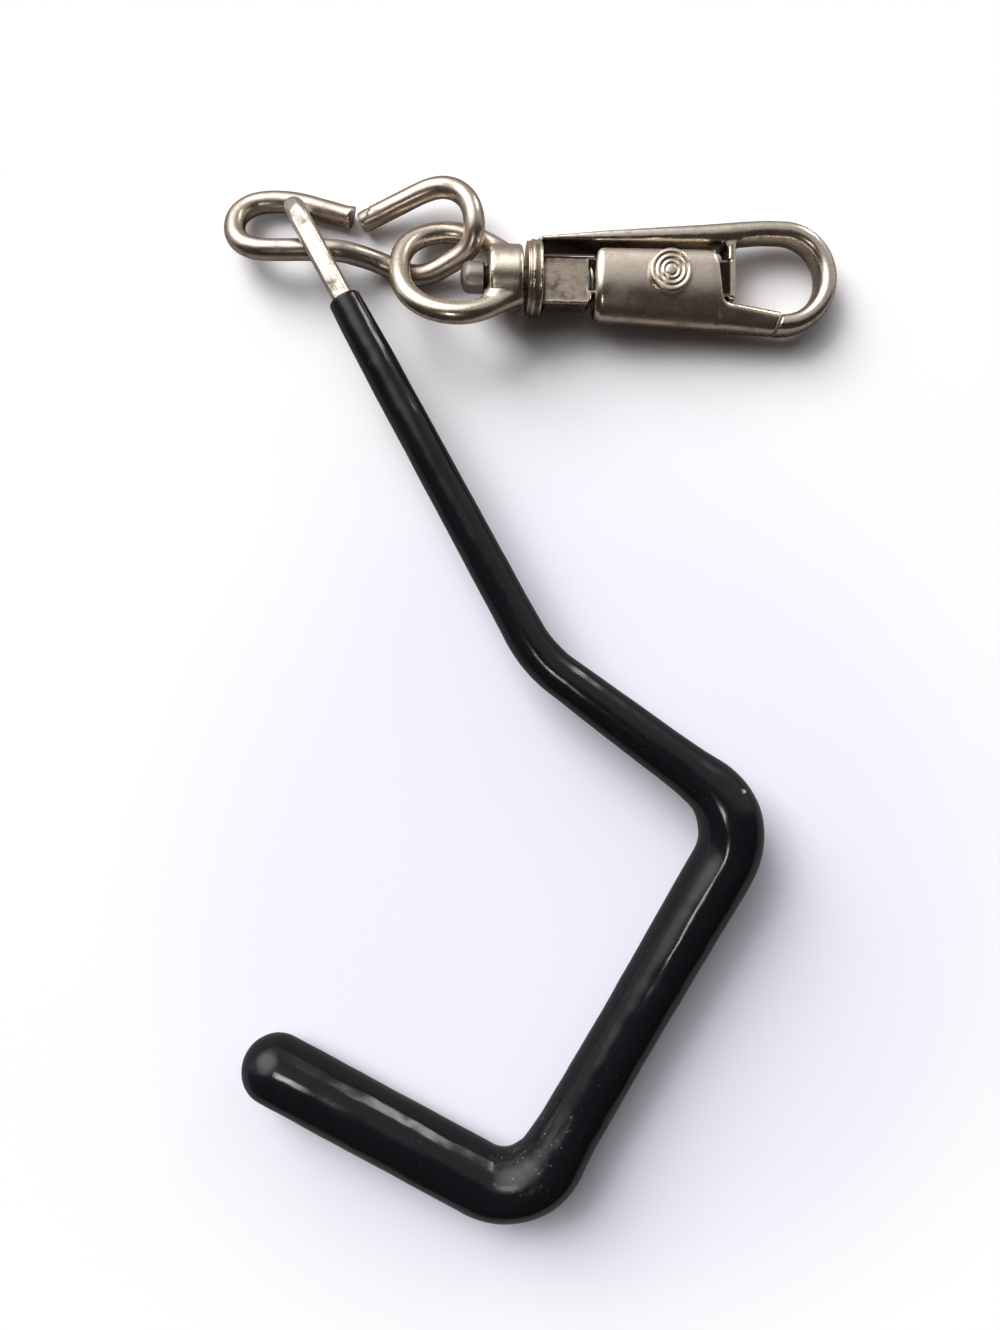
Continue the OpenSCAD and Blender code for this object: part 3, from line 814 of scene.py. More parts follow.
@dataclass(frozen=True)
class CoatingFinish:
    """The glossy dipped vinyl, with its nicks and the dusty patch in the corner."""

    colour: Point = (0.0065, 0.006, 0.008)
    dust: Point = (0.3, 0.3, 0.3)
    roughness: float = 0.13
    ior: float = 1.52
    nicks: tuple[Scuff, ...] = ()
    dusty: tuple[Scuff, ...] = ()

    def build(self) -> bpy.types.Material:
        """Builds the material.

        Returns:
            The new material.
        """
        material = bpy.data.materials.new("finish_coating")
        n = cleared(material)
        space = n.get("ShaderNodeTexCoord", None, None, "Object")
        lay = n.attribute("lay", "Vector")
        wander = n.noise(space, 900.0, 2.0)
        smear = n.noise(n.scaled(lay, (1.0, 1.0, 0.12)), 700.0, 4.0, 0.6)
        grain = n.noise(space, 4200.0, 3.0, 0.7)
        waves = n.noise(n.scaled(lay, (1.0, 1.0, 0.35)), 190.0, 2.0)
        cells = {"Vector": space, "Scale": 900.0, "Randomness": 1.0}
        cell = n.get("ShaderNodeTexVoronoi", None, cells, "Distance")
        speck = cell.band(0.17, 0.09)
        pick = n.noise(space, 330.0, 1.0).band(0.52, 0.6)
        nick = self._near(n, space, self.nicks, wander)
        patch = self._near(n, space, self.dusty, wander)
        dust = (patch * smear.band(0.42, 0.66) * 0.07 + patch * speck * 0.6 + speck * pick * 0.12).low(1.0)
        smeared = tuple(c * 1.9 for c in self.colour)
        torn = tuple(c * 1.7 for c in self.dust)
        colour = n.mix(smear.band(0.5, 0.75) * 0.5, self.colour, smeared)
        colour = n.mix(nick * 0.8, n.mix(dust * 0.75, colour, self.dust), torn)
        rough = self.roughness + (smear - 0.5) * 0.12 + patch * 0.13 + dust * 0.3 + nick * 0.3
        normal = n.bump(waves, 0.3, 0.6 * MM)
        normal = n.bump(grain * 0.4 + smear, 0.14, 0.07 * MM, normal)
        normal = n.bump(1.0 - nick, 0.7, 0.3 * MM, normal)
        rough = rough.high(0.08).low(0.85)
        vinyl = {"Base Color": colour, "Roughness": rough, "IOR": self.ior, "Normal": normal}
        shader = n.get("ShaderNodeBsdfPrincipled", None, vinyl)
        n.add("ShaderNodeOutputMaterial", None, {"Surface": shader})
        return material

    @staticmethod
    def _near(n: Nodes, space: Socket, marks: Iterable[Scuff], wander: Socket) -> Socket:
        """How much each place lies in one of the marks.

        Args:
            n: the material's nodes.
            space: the place.
            marks: the marks.
            wander: noise that makes their edges ragged.

        Returns:
            A value from 0 to 1.
        """
        total: Optional[Socket] = None
        for mark in marks:
            centre = tuple((np.array(mark.at) + LAYOUT_XY) * MM)
            away = n.vector("DISTANCE", space, centre) / (mark.size * MM) + (wander - 0.5) * 1.1
            here = away.band(1.0, 0.55)
            total = here if total is None else total.high(here)
        return total if total is not None else wander * 0.0


@dataclass(frozen=True)
class PaperFinish:
    """The pale ground, white at the top and faintly lavender round the hook: painted light, the ground
    painted whiter where more light falls.
    """

    white: Point = (0.95, 0.95, 0.97)
    lavender: Point = (0.86, 0.875, 0.975)
    # Painted shade: the darker colour that the paper shows to reflections and bounced light, while the camera
    # sees it pale.
    unseen_shade: Point = (0.22, 0.205, 0.2)
    middle: tuple[float, float] = (0.010, -0.045)
    spread: tuple[float, float] = (0.085, 0.1)

    def build(self) -> bpy.types.Material:
        """Builds the material.

        Returns:
            The new material.
        """
        material = bpy.data.materials.new("finish_ground")
        n = cleared(material)
        space = n.get("ShaderNodeTexCoord", None, None, "Object")
        parts = n.add("ShaderNodeSeparateXYZ", None, {"Vector": space})
        x, y = Socket(n, parts.outputs[0]), Socket(n, parts.outputs[1])
        grain = n.noise(space, 1500.0, 3.0, 0.6)
        away = [(v - middle) / spread for v, middle, spread in zip((x, y), self.middle, self.spread)]
        # Painted light: the ground is painted lavender round the hook and whiter away from it, as if more
        # light fell there.
        near = (away[0] ** 2.0 + away[1] ** 2.0).band(1.4, 0.3)
        tint = n.mix(near, self.white, self.lavender)
        tint = n.mix(grain.band(0.3, 0.7) * 0.04, tint, (0.7, 0.7, 0.76))
        glow = n.get("ShaderNodeEmission", None, {"Color": (1.0, 1.0, 1.0), "Strength": 1.0})
        seen = n.get("ShaderNodeLightPath", None, None, "Is Camera Ray")
        # Painted shade: rays other than the camera's meet the paper's darker colour.
        paper = n.get("ShaderNodeBsdfDiffuse", None, {"Color": n.mix(seen, self.unseen_shade, tint)})
        far = (x * x + y * y).band(0.01, 0.022)
        surface = n.get("ShaderNodeMixShader", None, {0: seen * far, 1: paper, 2: glow})
        n.add("ShaderNodeOutputMaterial", None, {"Surface": surface})
        return material


# The pieces


@dataclass
class CoatedHook:
    """The bent rod with its hairpin, and the thick coating over its lower part."""

    rod_d: float = 4.0
    shank: float = 89.8
    reach: float = 50.5
    back: float = 86.6
    toe: float = 54.6
    shank_dir: float = -61.6
    turns: tuple[float, float, float] = (25.0, -83.1, -88.7)
    bends: tuple[float, float, float] = (26.0, 12.2, 10.6)
    half_w: float = 4.8
    hairpin_r: float = 4.5
    pin_reach: float = 3.5
    return_len: float = 2.9
    coat_start: float = 12.6
    neck_d: float = 6.3
    knee_d: float = 8.0
    elbow_d: float = 10.2
    back_d: float = 11.8
    toe_d: float = 13.4
    lip: float = 0.55
    table_gap: float = 0.05

    def __post_init__(self) -> None:
        """Works out the corners of the rod's path."""
        dirs = np.cumsum([self.shank_dir, *self.turns])
        self.dirs = dirs
        self.knee_at = self.shank * heading(dirs[0])
        self.elbow_at = self.knee_at + self.reach * heading(dirs[1])
        self.corner_at = self.elbow_at + self.back * heading(dirs[2])
        self.toe_at = self.corner_at + self.toe * heading(dirs[3])
        shank_z = STRAND_Z + self.half_w
        toe_reach = abs(float(np.cross(self.corner_at, heading(dirs[3]))[2]))
        lean = math.asin((shank_z - self.toe_d / 2 - self.table_gap) / toe_reach)
        hinge = Vector(heading(dirs[3] + 180))
        start = Vector(LAYOUT_XY + np.array([0, 0, shank_z]))
        self.place = Matrix.Translation(start) @ Matrix.Rotation(lean, 4, hinge)

    def rod(self, tree: BarTree, finish: bpy.types.Material) -> bpy.types.Object:
        """Builds the steel rod, bare down to the coating's edge.

        Args:
            tree: the bar tree.
            finish: its material.

        Returns:
            The rod.
        """
        drop = np.array([0, 0, -2 * self.half_w])
        end = (self.pin_reach + self.half_w) * heading(self.dirs[0] + 180)
        start = self.return_len * heading(self.dirs[0])
        stop = (self.coat_start + 4.0) * heading(self.dirs[0])
        corners = [start + drop, end + drop, end, stop]
        path = bent_points(corners, [0, self.hairpin_r, self.hairpin_r, 0], 0.35)
        chamfer, over = 0.35, 0.25
        radii = self.rod_d / 2 - chamfer * np.exp(-distances(path) / over)
        dents = Dents(0.16 * MM, 260.0, 3.1)
        rod = tree.sweep("hook_rod_bare", placed(path, self.place), radii * MM, finish, 56, dents)
        ahead, aside, r = heading(self.dirs[0]), heading(self.dirs[0] - 90), self.rod_d / 2
        up = np.array([0, 0, 1.0])
        on_run = 0.72 * r * up + 6 * ahead
        on_crown = end + 0.5 * r * up + 0.75 * r * ahead
        flattened(rod, self.place, on_run, up + 0.06 * aside, 16.0)
        flattened(rod, self.place, on_crown, up - 0.75 * ahead + 0.2 * aside, 2.6)
        return rod

    def coating_law(self) -> Pairs:
        """The coating's thickness over its run, swelling at the elbow and again at the corner.

        Returns:
            Pairs of distance from the neck and diameter, in millimetres.
        """
        to_knee = self.shank - self.coat_start
        to_elbow = to_knee + self.reach
        to_corner = to_elbow + self.back
        to_toe = to_corner + self.toe
        cuts = [r * math.tan(abs(math.radians(t)) / 2) for r, t in zip(self.bends, self.turns)]
        return [
            (0.0, self.neck_d - 0.15),
            (1.2, self.neck_d),
            (12, self.neck_d + 0.6),
            (to_knee - 12, self.knee_d - 0.4),
            (to_knee + 6, self.knee_d + 0.2),
            (to_elbow - cuts[1] - 4, self.elbow_d - 0.7),
            (to_elbow - cuts[1], self.elbow_d + 0.2),
            (to_elbow - cuts[1] * 0.3, self.back_d + 0.5),
            (to_elbow + cuts[1], self.back_d + 0.5),
            ((to_elbow + to_corner) / 2, self.back_d - 0.2),
            (to_corner - cuts[2] * 2, self.back_d + 0.1),
            (to_corner - cuts[2], self.toe_d + 0.3),
            (to_corner, self.toe_d),
            (to_toe - 8, self.toe_d),
            (to_toe, self.toe_d - 0.6),
        ]

    def coating(self, tree: BarTree, finish: bpy.types.Material) -> bpy.types.Object:
        """Builds the coating with its thin neck, its swelling corner and its round toe.

        Args:
            tree: the bar tree.
            finish: its material.

        Returns:
            The coating.
        """
        start = self.coat_start * heading(self.dirs[0])
        corners = [start, self.knee_at, self.elbow_at, self.corner_at, self.toe_at]
        path = bent_points(corners, [0, *self.bends, 0], 0.8)
        lead = np.array([start + t * heading(self.dirs[0]) for t in (0.08, 0.2, 0.36, 0.55)])
        path = np.vstack([path[:1], lead, path[1:]])
        along = distances(path)
        rise = np.sqrt(1 - (1 - np.clip(along / self.lip, 0, 1)) ** 2)
        radii = law(self.coating_law(), along, 3.0) / 2 - self.lip * (1 - rise)
        end_r = radii[-1]
        dome = np.linspace(0, 0.5 * math.pi, 22)[1:-1]
        cap = np.array([self.toe_at + end_r * math.sin(a) * heading(self.dirs[3]) for a in dome])
        points = np.vstack([path, cap, self.toe_at + end_r * heading(self.dirs[3])])
        radii = np.concatenate([radii, end_r * np.cos(dome), [end_r * 0.02]])
        points = placed(points, self.place)
        return tree.sweep("hook_coating_vinyl", points, radii * MM, finish, 96, Dents(0.22 * MM, 150.0, 0.7))


@dataclass
class WireLink:
    """The opened wire link, bent so that its two cut ends face each other."""

    wire_d: float = 4.1
    narrow_w: float = 11.4
    narrow_len: float = 16.5
    wide_len: float = 30.6
    narrow_r: float = 5.6
    wide_r: float = 7.2
    over_z: float = 7.7
    table_gap: float = 0.05

    def build(self, tree: BarTree, finish: bpy.types.Material) -> bpy.types.Object:
        """Builds the link with its nicked cut ends.

        Args:
            tree: the bar tree.
            finish: its material.

        Returns:
            The link.
        """
        low = self.wire_d / 2 + self.table_gap
        left, right = -self.narrow_len, self.wide_len
        corners = [
            (6.3, self.narrow_w - 3.2, low),
            (-5.5, self.narrow_w + 0.1, low),
            (left, self.narrow_w, low),
            (left, 0, STRAND_Z),
            (4.6, 0, STRAND_Z),
            (11.8, -0.6, low + 0.2),
            (19.5, -4.2, low),
            (right, 0.6, self.over_z - 1.7),
            (right, 3.6, self.over_z + 0.3),
            (right, 15.9, self.over_z - 0.3),
            (8.1, 7.1, low + 0.3),
        ]
        radii = [0, 18, self.narrow_r, self.narrow_r, 6.5, 6.5, 7, 4.2, 2.2, self.wide_r, 0]
        path = eased(bent_points(corners, radii, 0.35), 5)
        along = distances(path)
        lip, pinch = 0.1 * np.exp(-((along - 0.5) / 0.35) ** 2), 0.16 * np.exp(-along / 0.15)
        chamfer = 0.25 * np.exp(-(along[-1] - along) / 0.3)
        r = self.wire_d / 2 + lip - pinch - chamfer
        place = Matrix.Translation(Vector(LAYOUT_XY))
        dents = Dents(0.14 * MM, 330.0, 5.2)
        link = tree.sweep("wire_link_bent", placed(path, place), r * MM, finish, 56, dents)
        self.burr(link, LAYOUT_XY + path[0], unit(path[0] - path[1]))
        return link

    def burr(self, link: bpy.types.Object, end: np.ndarray, out: np.ndarray) -> None:
        """Draws the shears' burr out of the first cut end.

        Args:
            link: the link.
            end: the middle of the end's face, in millimetres.
            out: the direction in which the end faces.
        """
        side = unit(np.array([0.2, 0.75, 0.6]))
        starts_at, depth = 0.55, 0.7
        drawn = 0.5 * out + 0.3 * side
        for v in link.data.vertices:
            at = np.array(v.co) / MM
            away = at - end
            if np.linalg.norm(away) > self.wire_d:
                continue
            ahead = float(away @ out)
            lean = float((away - ahead * out) @ side) / (self.wire_d / 2)
            pull = max(0.0, lean - starts_at) / (1 - starts_at) * min(1.0, max(0.0, ahead + depth) / depth)
            v.co = Vector((at + pull * drawn) * MM)


@dataclass
class SwivelEye:
    """The cast eye: a bow of round bar on a drilled barrel, with its pin and washer."""

    roll: float = 28.0
    bow_d: float = 4.1
    bow_len: float = 17.2
    half_w: float = 11.5
    bow_r: float = 8.8
    bow_y: float = 0.95
    barrel_d: float = 12.3
    barrel_len: float = 6.5
    play: float = 0.8
    bore_d: float = 4.32
    head_d: float = 6.0
    head_len: float = 4.6
    pin_d: float = 4.2
    washer_t: float = 0.7
    washer_d: float = 13.6

    def eye(self, tree: BarTree) -> bpy.types.Object:
        """Builds the eye as one casting, with a fillet where the bow meets the barrel.

        Args:
            tree: the bar tree.

        Returns:
            The eye, which is still without its finish.
        """
        x1 = -self.play
        x0 = x1 - self.barrel_len
        tip = x0 - self.bow_len
        corners = [
            (x1 - 2.6, self.barrel_d / 2 + 0.3, 0),
            (x0 - 3.2, self.bow_y + self.half_w, 0),
            (tip, self.bow_y + self.half_w + 0.7, 0),
            (tip, self.bow_y - self.half_w + 1.2, 0),
            (x0 - 2.6, self.bow_y - self.half_w + 0.4, 0),
            (x1 - 1.2, -self.barrel_d / 2 + 2.4, 0),
        ]
        path = eased(bent_points(corners, [0, 7, self.bow_r, 10.4, 9, 0], 0.3), 9)
        place = snap_place(self.roll)
        along = distances(path)
        radii = self.bow_d / 2 + 0.55 * np.exp(-((along[-1] - along) / 3.0) ** 2)
        bow = tree.sweep("bow", placed(path, place), radii * MM, None, 64)
        r, edge = self.barrel_d / 2, 0.45
        profile = [
            (x0, ON_AXIS), (x0, r - edge), (x0 + edge, r), (x1 - edge, r), (x1, r - edge), (x1, ON_AXIS),
        ]
        barrel = lathe("barrel", rounded(profile, 0.5), place, 128)
        fairings = []
        for start, end, thin, thick in (
            ((x0 - 2.6, -9.7, 0.0), (x0 + 2.4, -4.4, 0.0), 1.0, 3.0),
            ((x0 - 1.0, 10.2, 0.0), (x0 + 4.6, 4.4, 0.0), 1.6, 2.6),
        ):
            line = placed(np.linspace(start, end, 12), place)
            fairings.append(tree.sweep("fairing", line, np.linspace(thin, thick, 12) * MM, None))
        piece = fused("swivel_eye_cast", [bow, barrel, *fairings], 0.2, 14)
        bore = lathe("bore", [(x0 - 1, self.bore_d / 2), (x1 + 1, self.bore_d / 2)], place, 64)
        return cut(piece, [bore])

    def pin(self) -> bpy.types.Object:
        """Builds the pin, whose crowned head sits inside the bow and whose neck and shaft carry painted
        shade.

        Returns:
            The pin.
        """
        neck, crown, edge = 0.6, 1.1, 0.3
        under = -self.play - self.barrel_len - 0.15 - neck
        r, tail = self.head_d / 2, self.washer_t + 1.6
        tip = under - self.head_len
        profile = [
            (tip, ON_AXIS), (tip + 0.06, r - crown - 0.9), (tip + 0.4, r - 0.9), (tip + 0.9, r - 0.35),
            (tip + crown + 0.4, r - 0.02), (under - edge, r), (under, r - edge), (under, self.pin_d / 2),
            (tail, self.pin_d / 2), (tail, ON_AXIS),
        ]
        piece = lathe("swivel_pin_turned", rounded(profile, 0.3), snap_place())
        mark_hollows(piece, 0, 0.0)
        # Painted shade over the pin's neck and shaft.
        StainAndShade((under - edge, -9, -9), (2, 9, 9), 0.8).lay_on(piece)
        return piece

    def washer(self) -> bpy.types.Object:
        """Builds the washer, with a fine groove round its rim.

        Returns:
            The washer.
        """
        r, t, bore = self.washer_d / 2, self.washer_t, self.bore_d / 2
        profile = [
            (0.0, bore), (0.0, r - 0.3), (0.06, r - 0.06), (0.16, r), (0.24, r - 0.05), (0.3, r - 0.4),
            (0.4, r - 0.4), (0.46, r - 0.05), (0.54, r), (t - 0.06, r - 0.06), (t, r - 0.3), (t, bore),
        ]
        piece = lathe("swivel_washer_grooved", profile, snap_place(), 128, True)
        piece.data.set_sharp_from_angle(angle=math.radians(40))
        return piece


@dataclass
class SnapBody:
    """The cast body: collar, windowed guide bar, spine, strut and loop in one piece."""

    washer_t: float = 0.7
    collar_d: float = 14.3
    collar_t: float = 2.2
    loop_x: float = 49.8
    loop_y: float = 0.85
    loop_r: float = 9.0
    loop_w: float = 3.9
    loop_t: float = 6.2
    tip_angle: float = -104.0
    guide_h: float = 7.0
    guide_t: float = 5.2
    web_h: float = 9.0
    strut_x0: float = 39.05
    strut_w: float = 1.4
    strut_y0: float = -3.9
    strut_y1: float = 8.2
    strut_back: float = 0.35
    fillet: float = 1.2
    mouth_x: float = 48.9
    mouth_slant: float = 17.0
    mouth_gap: float = 0.42
    spine_y: float = 7.15
    spine_deep: float = 1.1
    web_end: float = 12.4
    web_cut: float = 0.8
    window: tuple[float, float, float] = (11.7, 29.6, 6.02)

    def mouth_side(self, side: int) -> bpy.types.Object:
        """A block over one side of the slanted joint between the gate and the tip.

        Args:
            side: 1 for the tip's side, -1 for the gate's.

        Returns:
            The block, which cuts one of the two pieces.
        """
        size = 14.0
        place = (
            snap_place()
            @ Matrix.Translation((self.mouth_x - side * self.mouth_gap / 2, self.loop_y - self.loop_r, 0))
            @ Matrix.Rotation(math.radians(-self.mouth_slant), 4, "Z")
        )
        x0 = 0.0 if side > 0 else -size
        return block((x0, -size / 2, -size / 2), (x0 + size, size / 2, size / 2), place)

    def bar(self) -> bpy.types.Object:
        """Builds the spine and the loop as one bar, from a thin boxy web to a stout round hook.

        Returns:
            The bar, with its mouth uncut.
        """
        x0 = self.washer_t + self.collar_t - 0.6
        out = self.loop_y + self.loop_r + self.loop_w / 2
        inn = self.loop_y + self.loop_r - self.loop_w / 2
        top = [
            (x0, self.spine_y), (15, self.spine_y + 1.6), (36, self.spine_y + 3.75), (42, out - 0.3),
            (46, out), (self.loop_x, out),
        ]
        low = [
            (x0, self.spine_y - 0.9), (36, self.spine_y - 0.45), (42, inn - 0.5), (46, inn),
            (self.loop_x, inn),
        ]
        xs = np.linspace(x0, self.loop_x, 90)
        y1, y0 = law(top, xs, 1.5), law(low, xs, 1.5)
        half_w, half_t = self.loop_w / 2, self.loop_t / 2
        power = np.interp(xs, [14, 34], [0.45, 0.8])
        deep = self.spine_deep * np.clip((26 - xs) / 10, 0, 1)
        stations = [
            (np.array([x, (a + b) / 2, -d]), 90.0, (b - a) / 2, half_t + d, e)
            for x, a, b, d, e in zip(xs, y0, y1, deep, power)
        ]
        centre = np.array([self.loop_x, self.loop_y, 0.0])
        stations += [
            (centre + self.loop_r * heading(a), a, half_w, half_t, power[-1])
            for a in np.linspace(90, self.tip_angle, 90)[1:]
        ]
        around = np.linspace(0, 2 * math.pi, 96, endpoint=False)
        cos, sin = np.cos(around), np.sin(around)
        rings = [
            at + np.outer(-half_w * boxy(cos, e), heading(out)) + np.outer(half_t * boxy(sin, e), [0, 0, 1])
            for at, out, half_w, half_t, e in stations
        ]
        return formed("bar", np.array(rings), snap_place())

    def build(self) -> bpy.types.Object:
        """Builds the casting.

        Returns:
            The body.
        """
        place = snap_place()
        x0, x1 = self.washer_t, self.washer_t + self.collar_t
        r, edge = self.collar_d / 2, 0.35
        profile = [
            (x0, ON_AXIS), (x0, r - 0.5), (x0 + 0.2, r - 0.06), (x0 + 0.45, r), (x0 + 0.62, r - 0.16),
            (x0 + 1.6, r - 0.2), (x0 + 1.74, r), (x1 - edge, r), (x1, r - edge), (x1, ON_AXIS),
        ]
        collar = lathe("collar", rounded(profile, 0.2), place, 160)
        y1, y0 = self.guide_h / 2, -self.guide_h / 2
        web0, guide_x0, guide_x1 = y1 - self.web_h, x1 - 0.3, self.strut_x0 + 0.6
        guide_outline = [
            (guide_x0, y1), (guide_x0, web0), (self.web_end - self.web_cut, web0),
            (self.web_end, web0 + self.web_cut), (self.web_end, y0), (guide_x1, y0), (guide_x1, y1),
        ]
        guide = plate(guide_outline, self.guide_t / 2, place)
        sx0, sx1, fillet = self.strut_x0, self.strut_x0 + self.strut_w, self.fillet

        def arc(cx: float, top: float, start: float, end: float) -> list[tuple[float, float]]:
            """A quarter of a fillet under a level line."""
            angles = np.radians(np.linspace(start, end, 9))
            return [(cx + fillet * math.cos(a), top - fillet + fillet * math.sin(a)) for a in angles]

        strut_outline = [(sx0 - fillet, self.strut_y1)]
        strut_outline += arc(sx0 - fillet, self.spine_y - 0.2, 90, 0)
        strut_outline += [(sx0, self.strut_y0), (sx1, self.strut_y0)]
        strut_outline += arc(sx1 + fillet, self.spine_y + 0.3, 180, 90)
        strut_outline += [(sx1 + fillet, self.strut_y1)]
        behind = Matrix.Translation((0, 0, -self.strut_back))
        strut = plate(strut_outline, self.loop_t / 2 - 0.4, place @ behind)
        loop = cut(self.bar(), [self.mouth_side(-1)])
        body = fused("snap_body_cast", [collar, guide, strut, loop], 0.21, 5)
        wx0, wx1, wh = self.window
        hole = block((wx0, -wh / 2, -4), (wx1, wh / 2, 4), place)
        return cut(body, [hole])


@dataclass
class SlidingGate:
    """The gate: a rounded sleeve drawn out to a nose, and the thumb button on its rivet."""

    body: SnapBody = field(default_factory=SnapBody)
    x0: float = 13.0
    travel: float = 9.0
    thick: float = 10.0
    slide_gap: float = 0.17
    button_x: float = 27.0
    button_d: float = 8.4
    button_h: float = 1.3
    rivet_d: float = 4.4
    rivet_gap: float = 0.02
    tail: float = 0.5
    ridge: float = 0.4

    def shell(self) -> bpy.types.Object:
        """Builds the sleeve's outer form, which falls away below a ridge and runs out to the nose.

        Returns:
            The form, before it is hollowed.
        """
        b, x0 = self.body, self.x0
        x1 = b.mouth_x + 2
        top, low = b.guide_h / 2 + 1.75, b.guide_h / 2 - b.web_h - 2.45
        sh = b.strut_x0 - 3.6
        upper = [
            (x0, top - 1.25), (x0 + 0.25, top - 0.75), (x0 + 0.7, top - 0.3), (x0 + 1.3, top - 0.08),
            (sh - 0.3, top), (sh + 0.35, top - 0.15), (sh + 0.8, top - 0.55), (sh + 1.2, top - 1.5),
            (sh + 1.5, 0.8), (sh + 1.8, -2.3), (sh + 2.1, -3.6), (sh + 2.6, -4.35), (sh + 3.4, -4.7),
            (44, -5.2), (x1, -6.1),
        ]
        lower = [(x0, low + 0.6), (x0 + 1.2, low - 0.1), (38, low - 1.4), (x1, low - 2.3)]
        half = [(x0, 0.84), (x0 + 0.4, 0.93), (x0 + 1, 1), (sh, 1), (41, 0.9), (x1, 0.66)]
        runs = ((x0, x0 + 2, 16), (x0 + 2, sh, 50), (sh, sh + 4, 70), (sh + 4, x1, 30))
        xs = np.unique(np.concatenate([np.linspace(*run) for run in runs]))
        ya, yb = law(lower, xs, 0.25), law(upper, xs, 0.12)
        ht = law(half, xs, 0.5) * self.thick / 2
        around = np.linspace(0, 2 * math.pi, 4097)
        cos, sin = np.cos(around), np.sin(around)
        nose = np.clip((xs - sh - 1.0) / (x1 - sh - 1.0), 0, 1)
        rings = []
        for x, y0, y1, h, t in zip(xs, ya, yb, ht, nose):
            c, s = boxy(cos, 0.42 + 0.28 * t), boxy(sin, 0.42 + 0.28 * t)
            run = np.concatenate([[0], np.cumsum(np.hypot(np.diff(c), np.diff(s)))])
            even = np.linspace(0, run[-1], 144, endpoint=False)
            c, s = np.interp(even, run, c), np.interp(even, run, s)
            y = (y0 + y1) / 2 + (y1 - y0) / 2 * c
            drop = np.clip((self.ridge - y) / (self.ridge - y0), 0, 1)
            fall = np.sqrt(1 - (0.86 - 0.3 * t) * drop ** 2.2)
            rings.append(np.stack([np.full(len(c), x), y, h * s * fall], axis=1))
        return formed("shell", np.array(rings), snap_place())

    def rivet_place(self) -> Matrix:
        """The frame of the button and its rivet, with X out of the sleeve's face."""
        turned = Matrix.Rotation(-math.pi / 2, 4, "Y")
        return snap_place() @ Matrix.Translation((self.button_x, 0, 0)) @ turned

    def sleeve(self) -> bpy.types.Object:
        """Builds the sleeve and cuts the room for the guide bar in it.

        Returns:
            The sleeve.
        """
        b, place, gap = self.body, snap_place(), self.slide_gap
        form = cut(self.shell(), [b.mouth_side(1)])
        piece = fused("gate_sleeve_cast", [form], 0.2, 5)
        y1, y0 = b.guide_h / 2 + gap, -b.guide_h / 2 - gap
        half = b.guide_t / 2 + gap
        open_x = self.x0 - 1
        room = block((open_x, y0, -half), (open_x + 30, y1, half), place)
        web0, web_x1 = b.guide_h / 2 - b.web_h - gap, b.web_end + self.travel + 0.3
        deep = block((open_x, web0, -half), (web_x1, y1 - 0.01, half), place)
        bore = self.rivet_d / 2 + self.rivet_gap
        hole = lathe("hole", [(-9, bore), (9, bore)], self.rivet_place(), 64)
        return cut(piece, [room, deep, hole])

    def button(self) -> bpy.types.Object:
        """Builds the button with its rings, its worn rim and its rivet.

        Returns:
            The button.
        """
        r, low = self.button_d / 2, self.thick / 2
        top, tail = low + self.button_h, -low - self.tail
        tail_r, stem = 2.9, self.rivet_d / 2
        grooves = [
            (0.2, 1.05), (0.2, 1.25), (0.04, 1.5), (0.04, 1.82), (0.24, 2.05), (0.24, 2.3), (0.07, 2.55),
            (0.07, 2.8), (0.24, 3.0), (0.24, 3.15), (0.09, 3.4),
        ]
        profile = [
            (tail, ON_AXIS), (tail, tail_r - 0.4), (tail + 0.3, tail_r), (-low, tail_r), (-low, stem),
            (low, stem), (low, r - 0.05), (low + 0.35, r), (top - 0.35, r), (top - 0.02, r - 0.35),
            (top, r - 0.85),
        ]
        profile += [(top - depth, r - inset) for depth, inset in grooves] + [(top - 0.06, ON_AXIS)]
        place = self.rivet_place()
        obj = lathe("gate_button_ringed", rounded(profile, 0.16, 3), place, 160)
        back = np.array(place.inverted())
        rng = np.random.default_rng(7)
        waves = [
            (k, rng.uniform(0, 2 * math.pi), rng.uniform(0.4, 1.0) / k ** 0.5)
            for k in (3, 5, 9, 14, 23, 31, 47)
        ]
        rim = 1.1
        for v in obj.data.vertices:
            x, y, z = (back[:3, :3] @ (np.array(v.co) / MM)) + back[:3, 3]
            out = math.hypot(y, z)
            if x > low + 0.1 and out > 0.1:
                angle = math.atan2(z, y)
                rag = sum(size * math.sin(k * angle + phase) for k, phase, size in waves)
                near = max(0.0, (out - (r - rim)) / rim)
                scale = 1 + 0.035 * rag * near ** 2 / r
                lift = -0.05 * max(0.0, rag) * near
                v.co = (place @ Vector((x + lift, y * scale, z * scale))) * MM
        return obj


@dataclass
class GateSpring:
    """The light coil spring in the guide bar's window."""

    coil_d: float = 5.6
    wire_d: float = 0.5
    turns: int = 7
    x0: float = 11.7
    x1: float = 24.8
    spare: float = 0.1

    def build(self, tree: BarTree, finish: bpy.types.Material) -> bpy.types.Object:
        """Builds the spring, a coil of even pitch.

        Args:
            tree: the bar tree.
            finish: its material.

        Returns:
            The spring.
        """
        a = np.linspace(0, self.turns * 2 * math.pi, self.turns * 40 + 1)
        inset = self.wire_d / 2 + 0.05
        run = self.x0 + inset + (self.x1 - self.x0 - 2 * inset) * a / a[-1]
        r = (self.coil_d - self.wire_d) / 2
        points = np.stack([run, r * np.cos(a), r * np.sin(a)], axis=1)
        radii = np.full(len(points), self.wire_d / 2 * MM)
        return tree.sweep("gate_spring_coil", placed(points, snap_place()), radii, finish, 12)


# Ground, light and camera


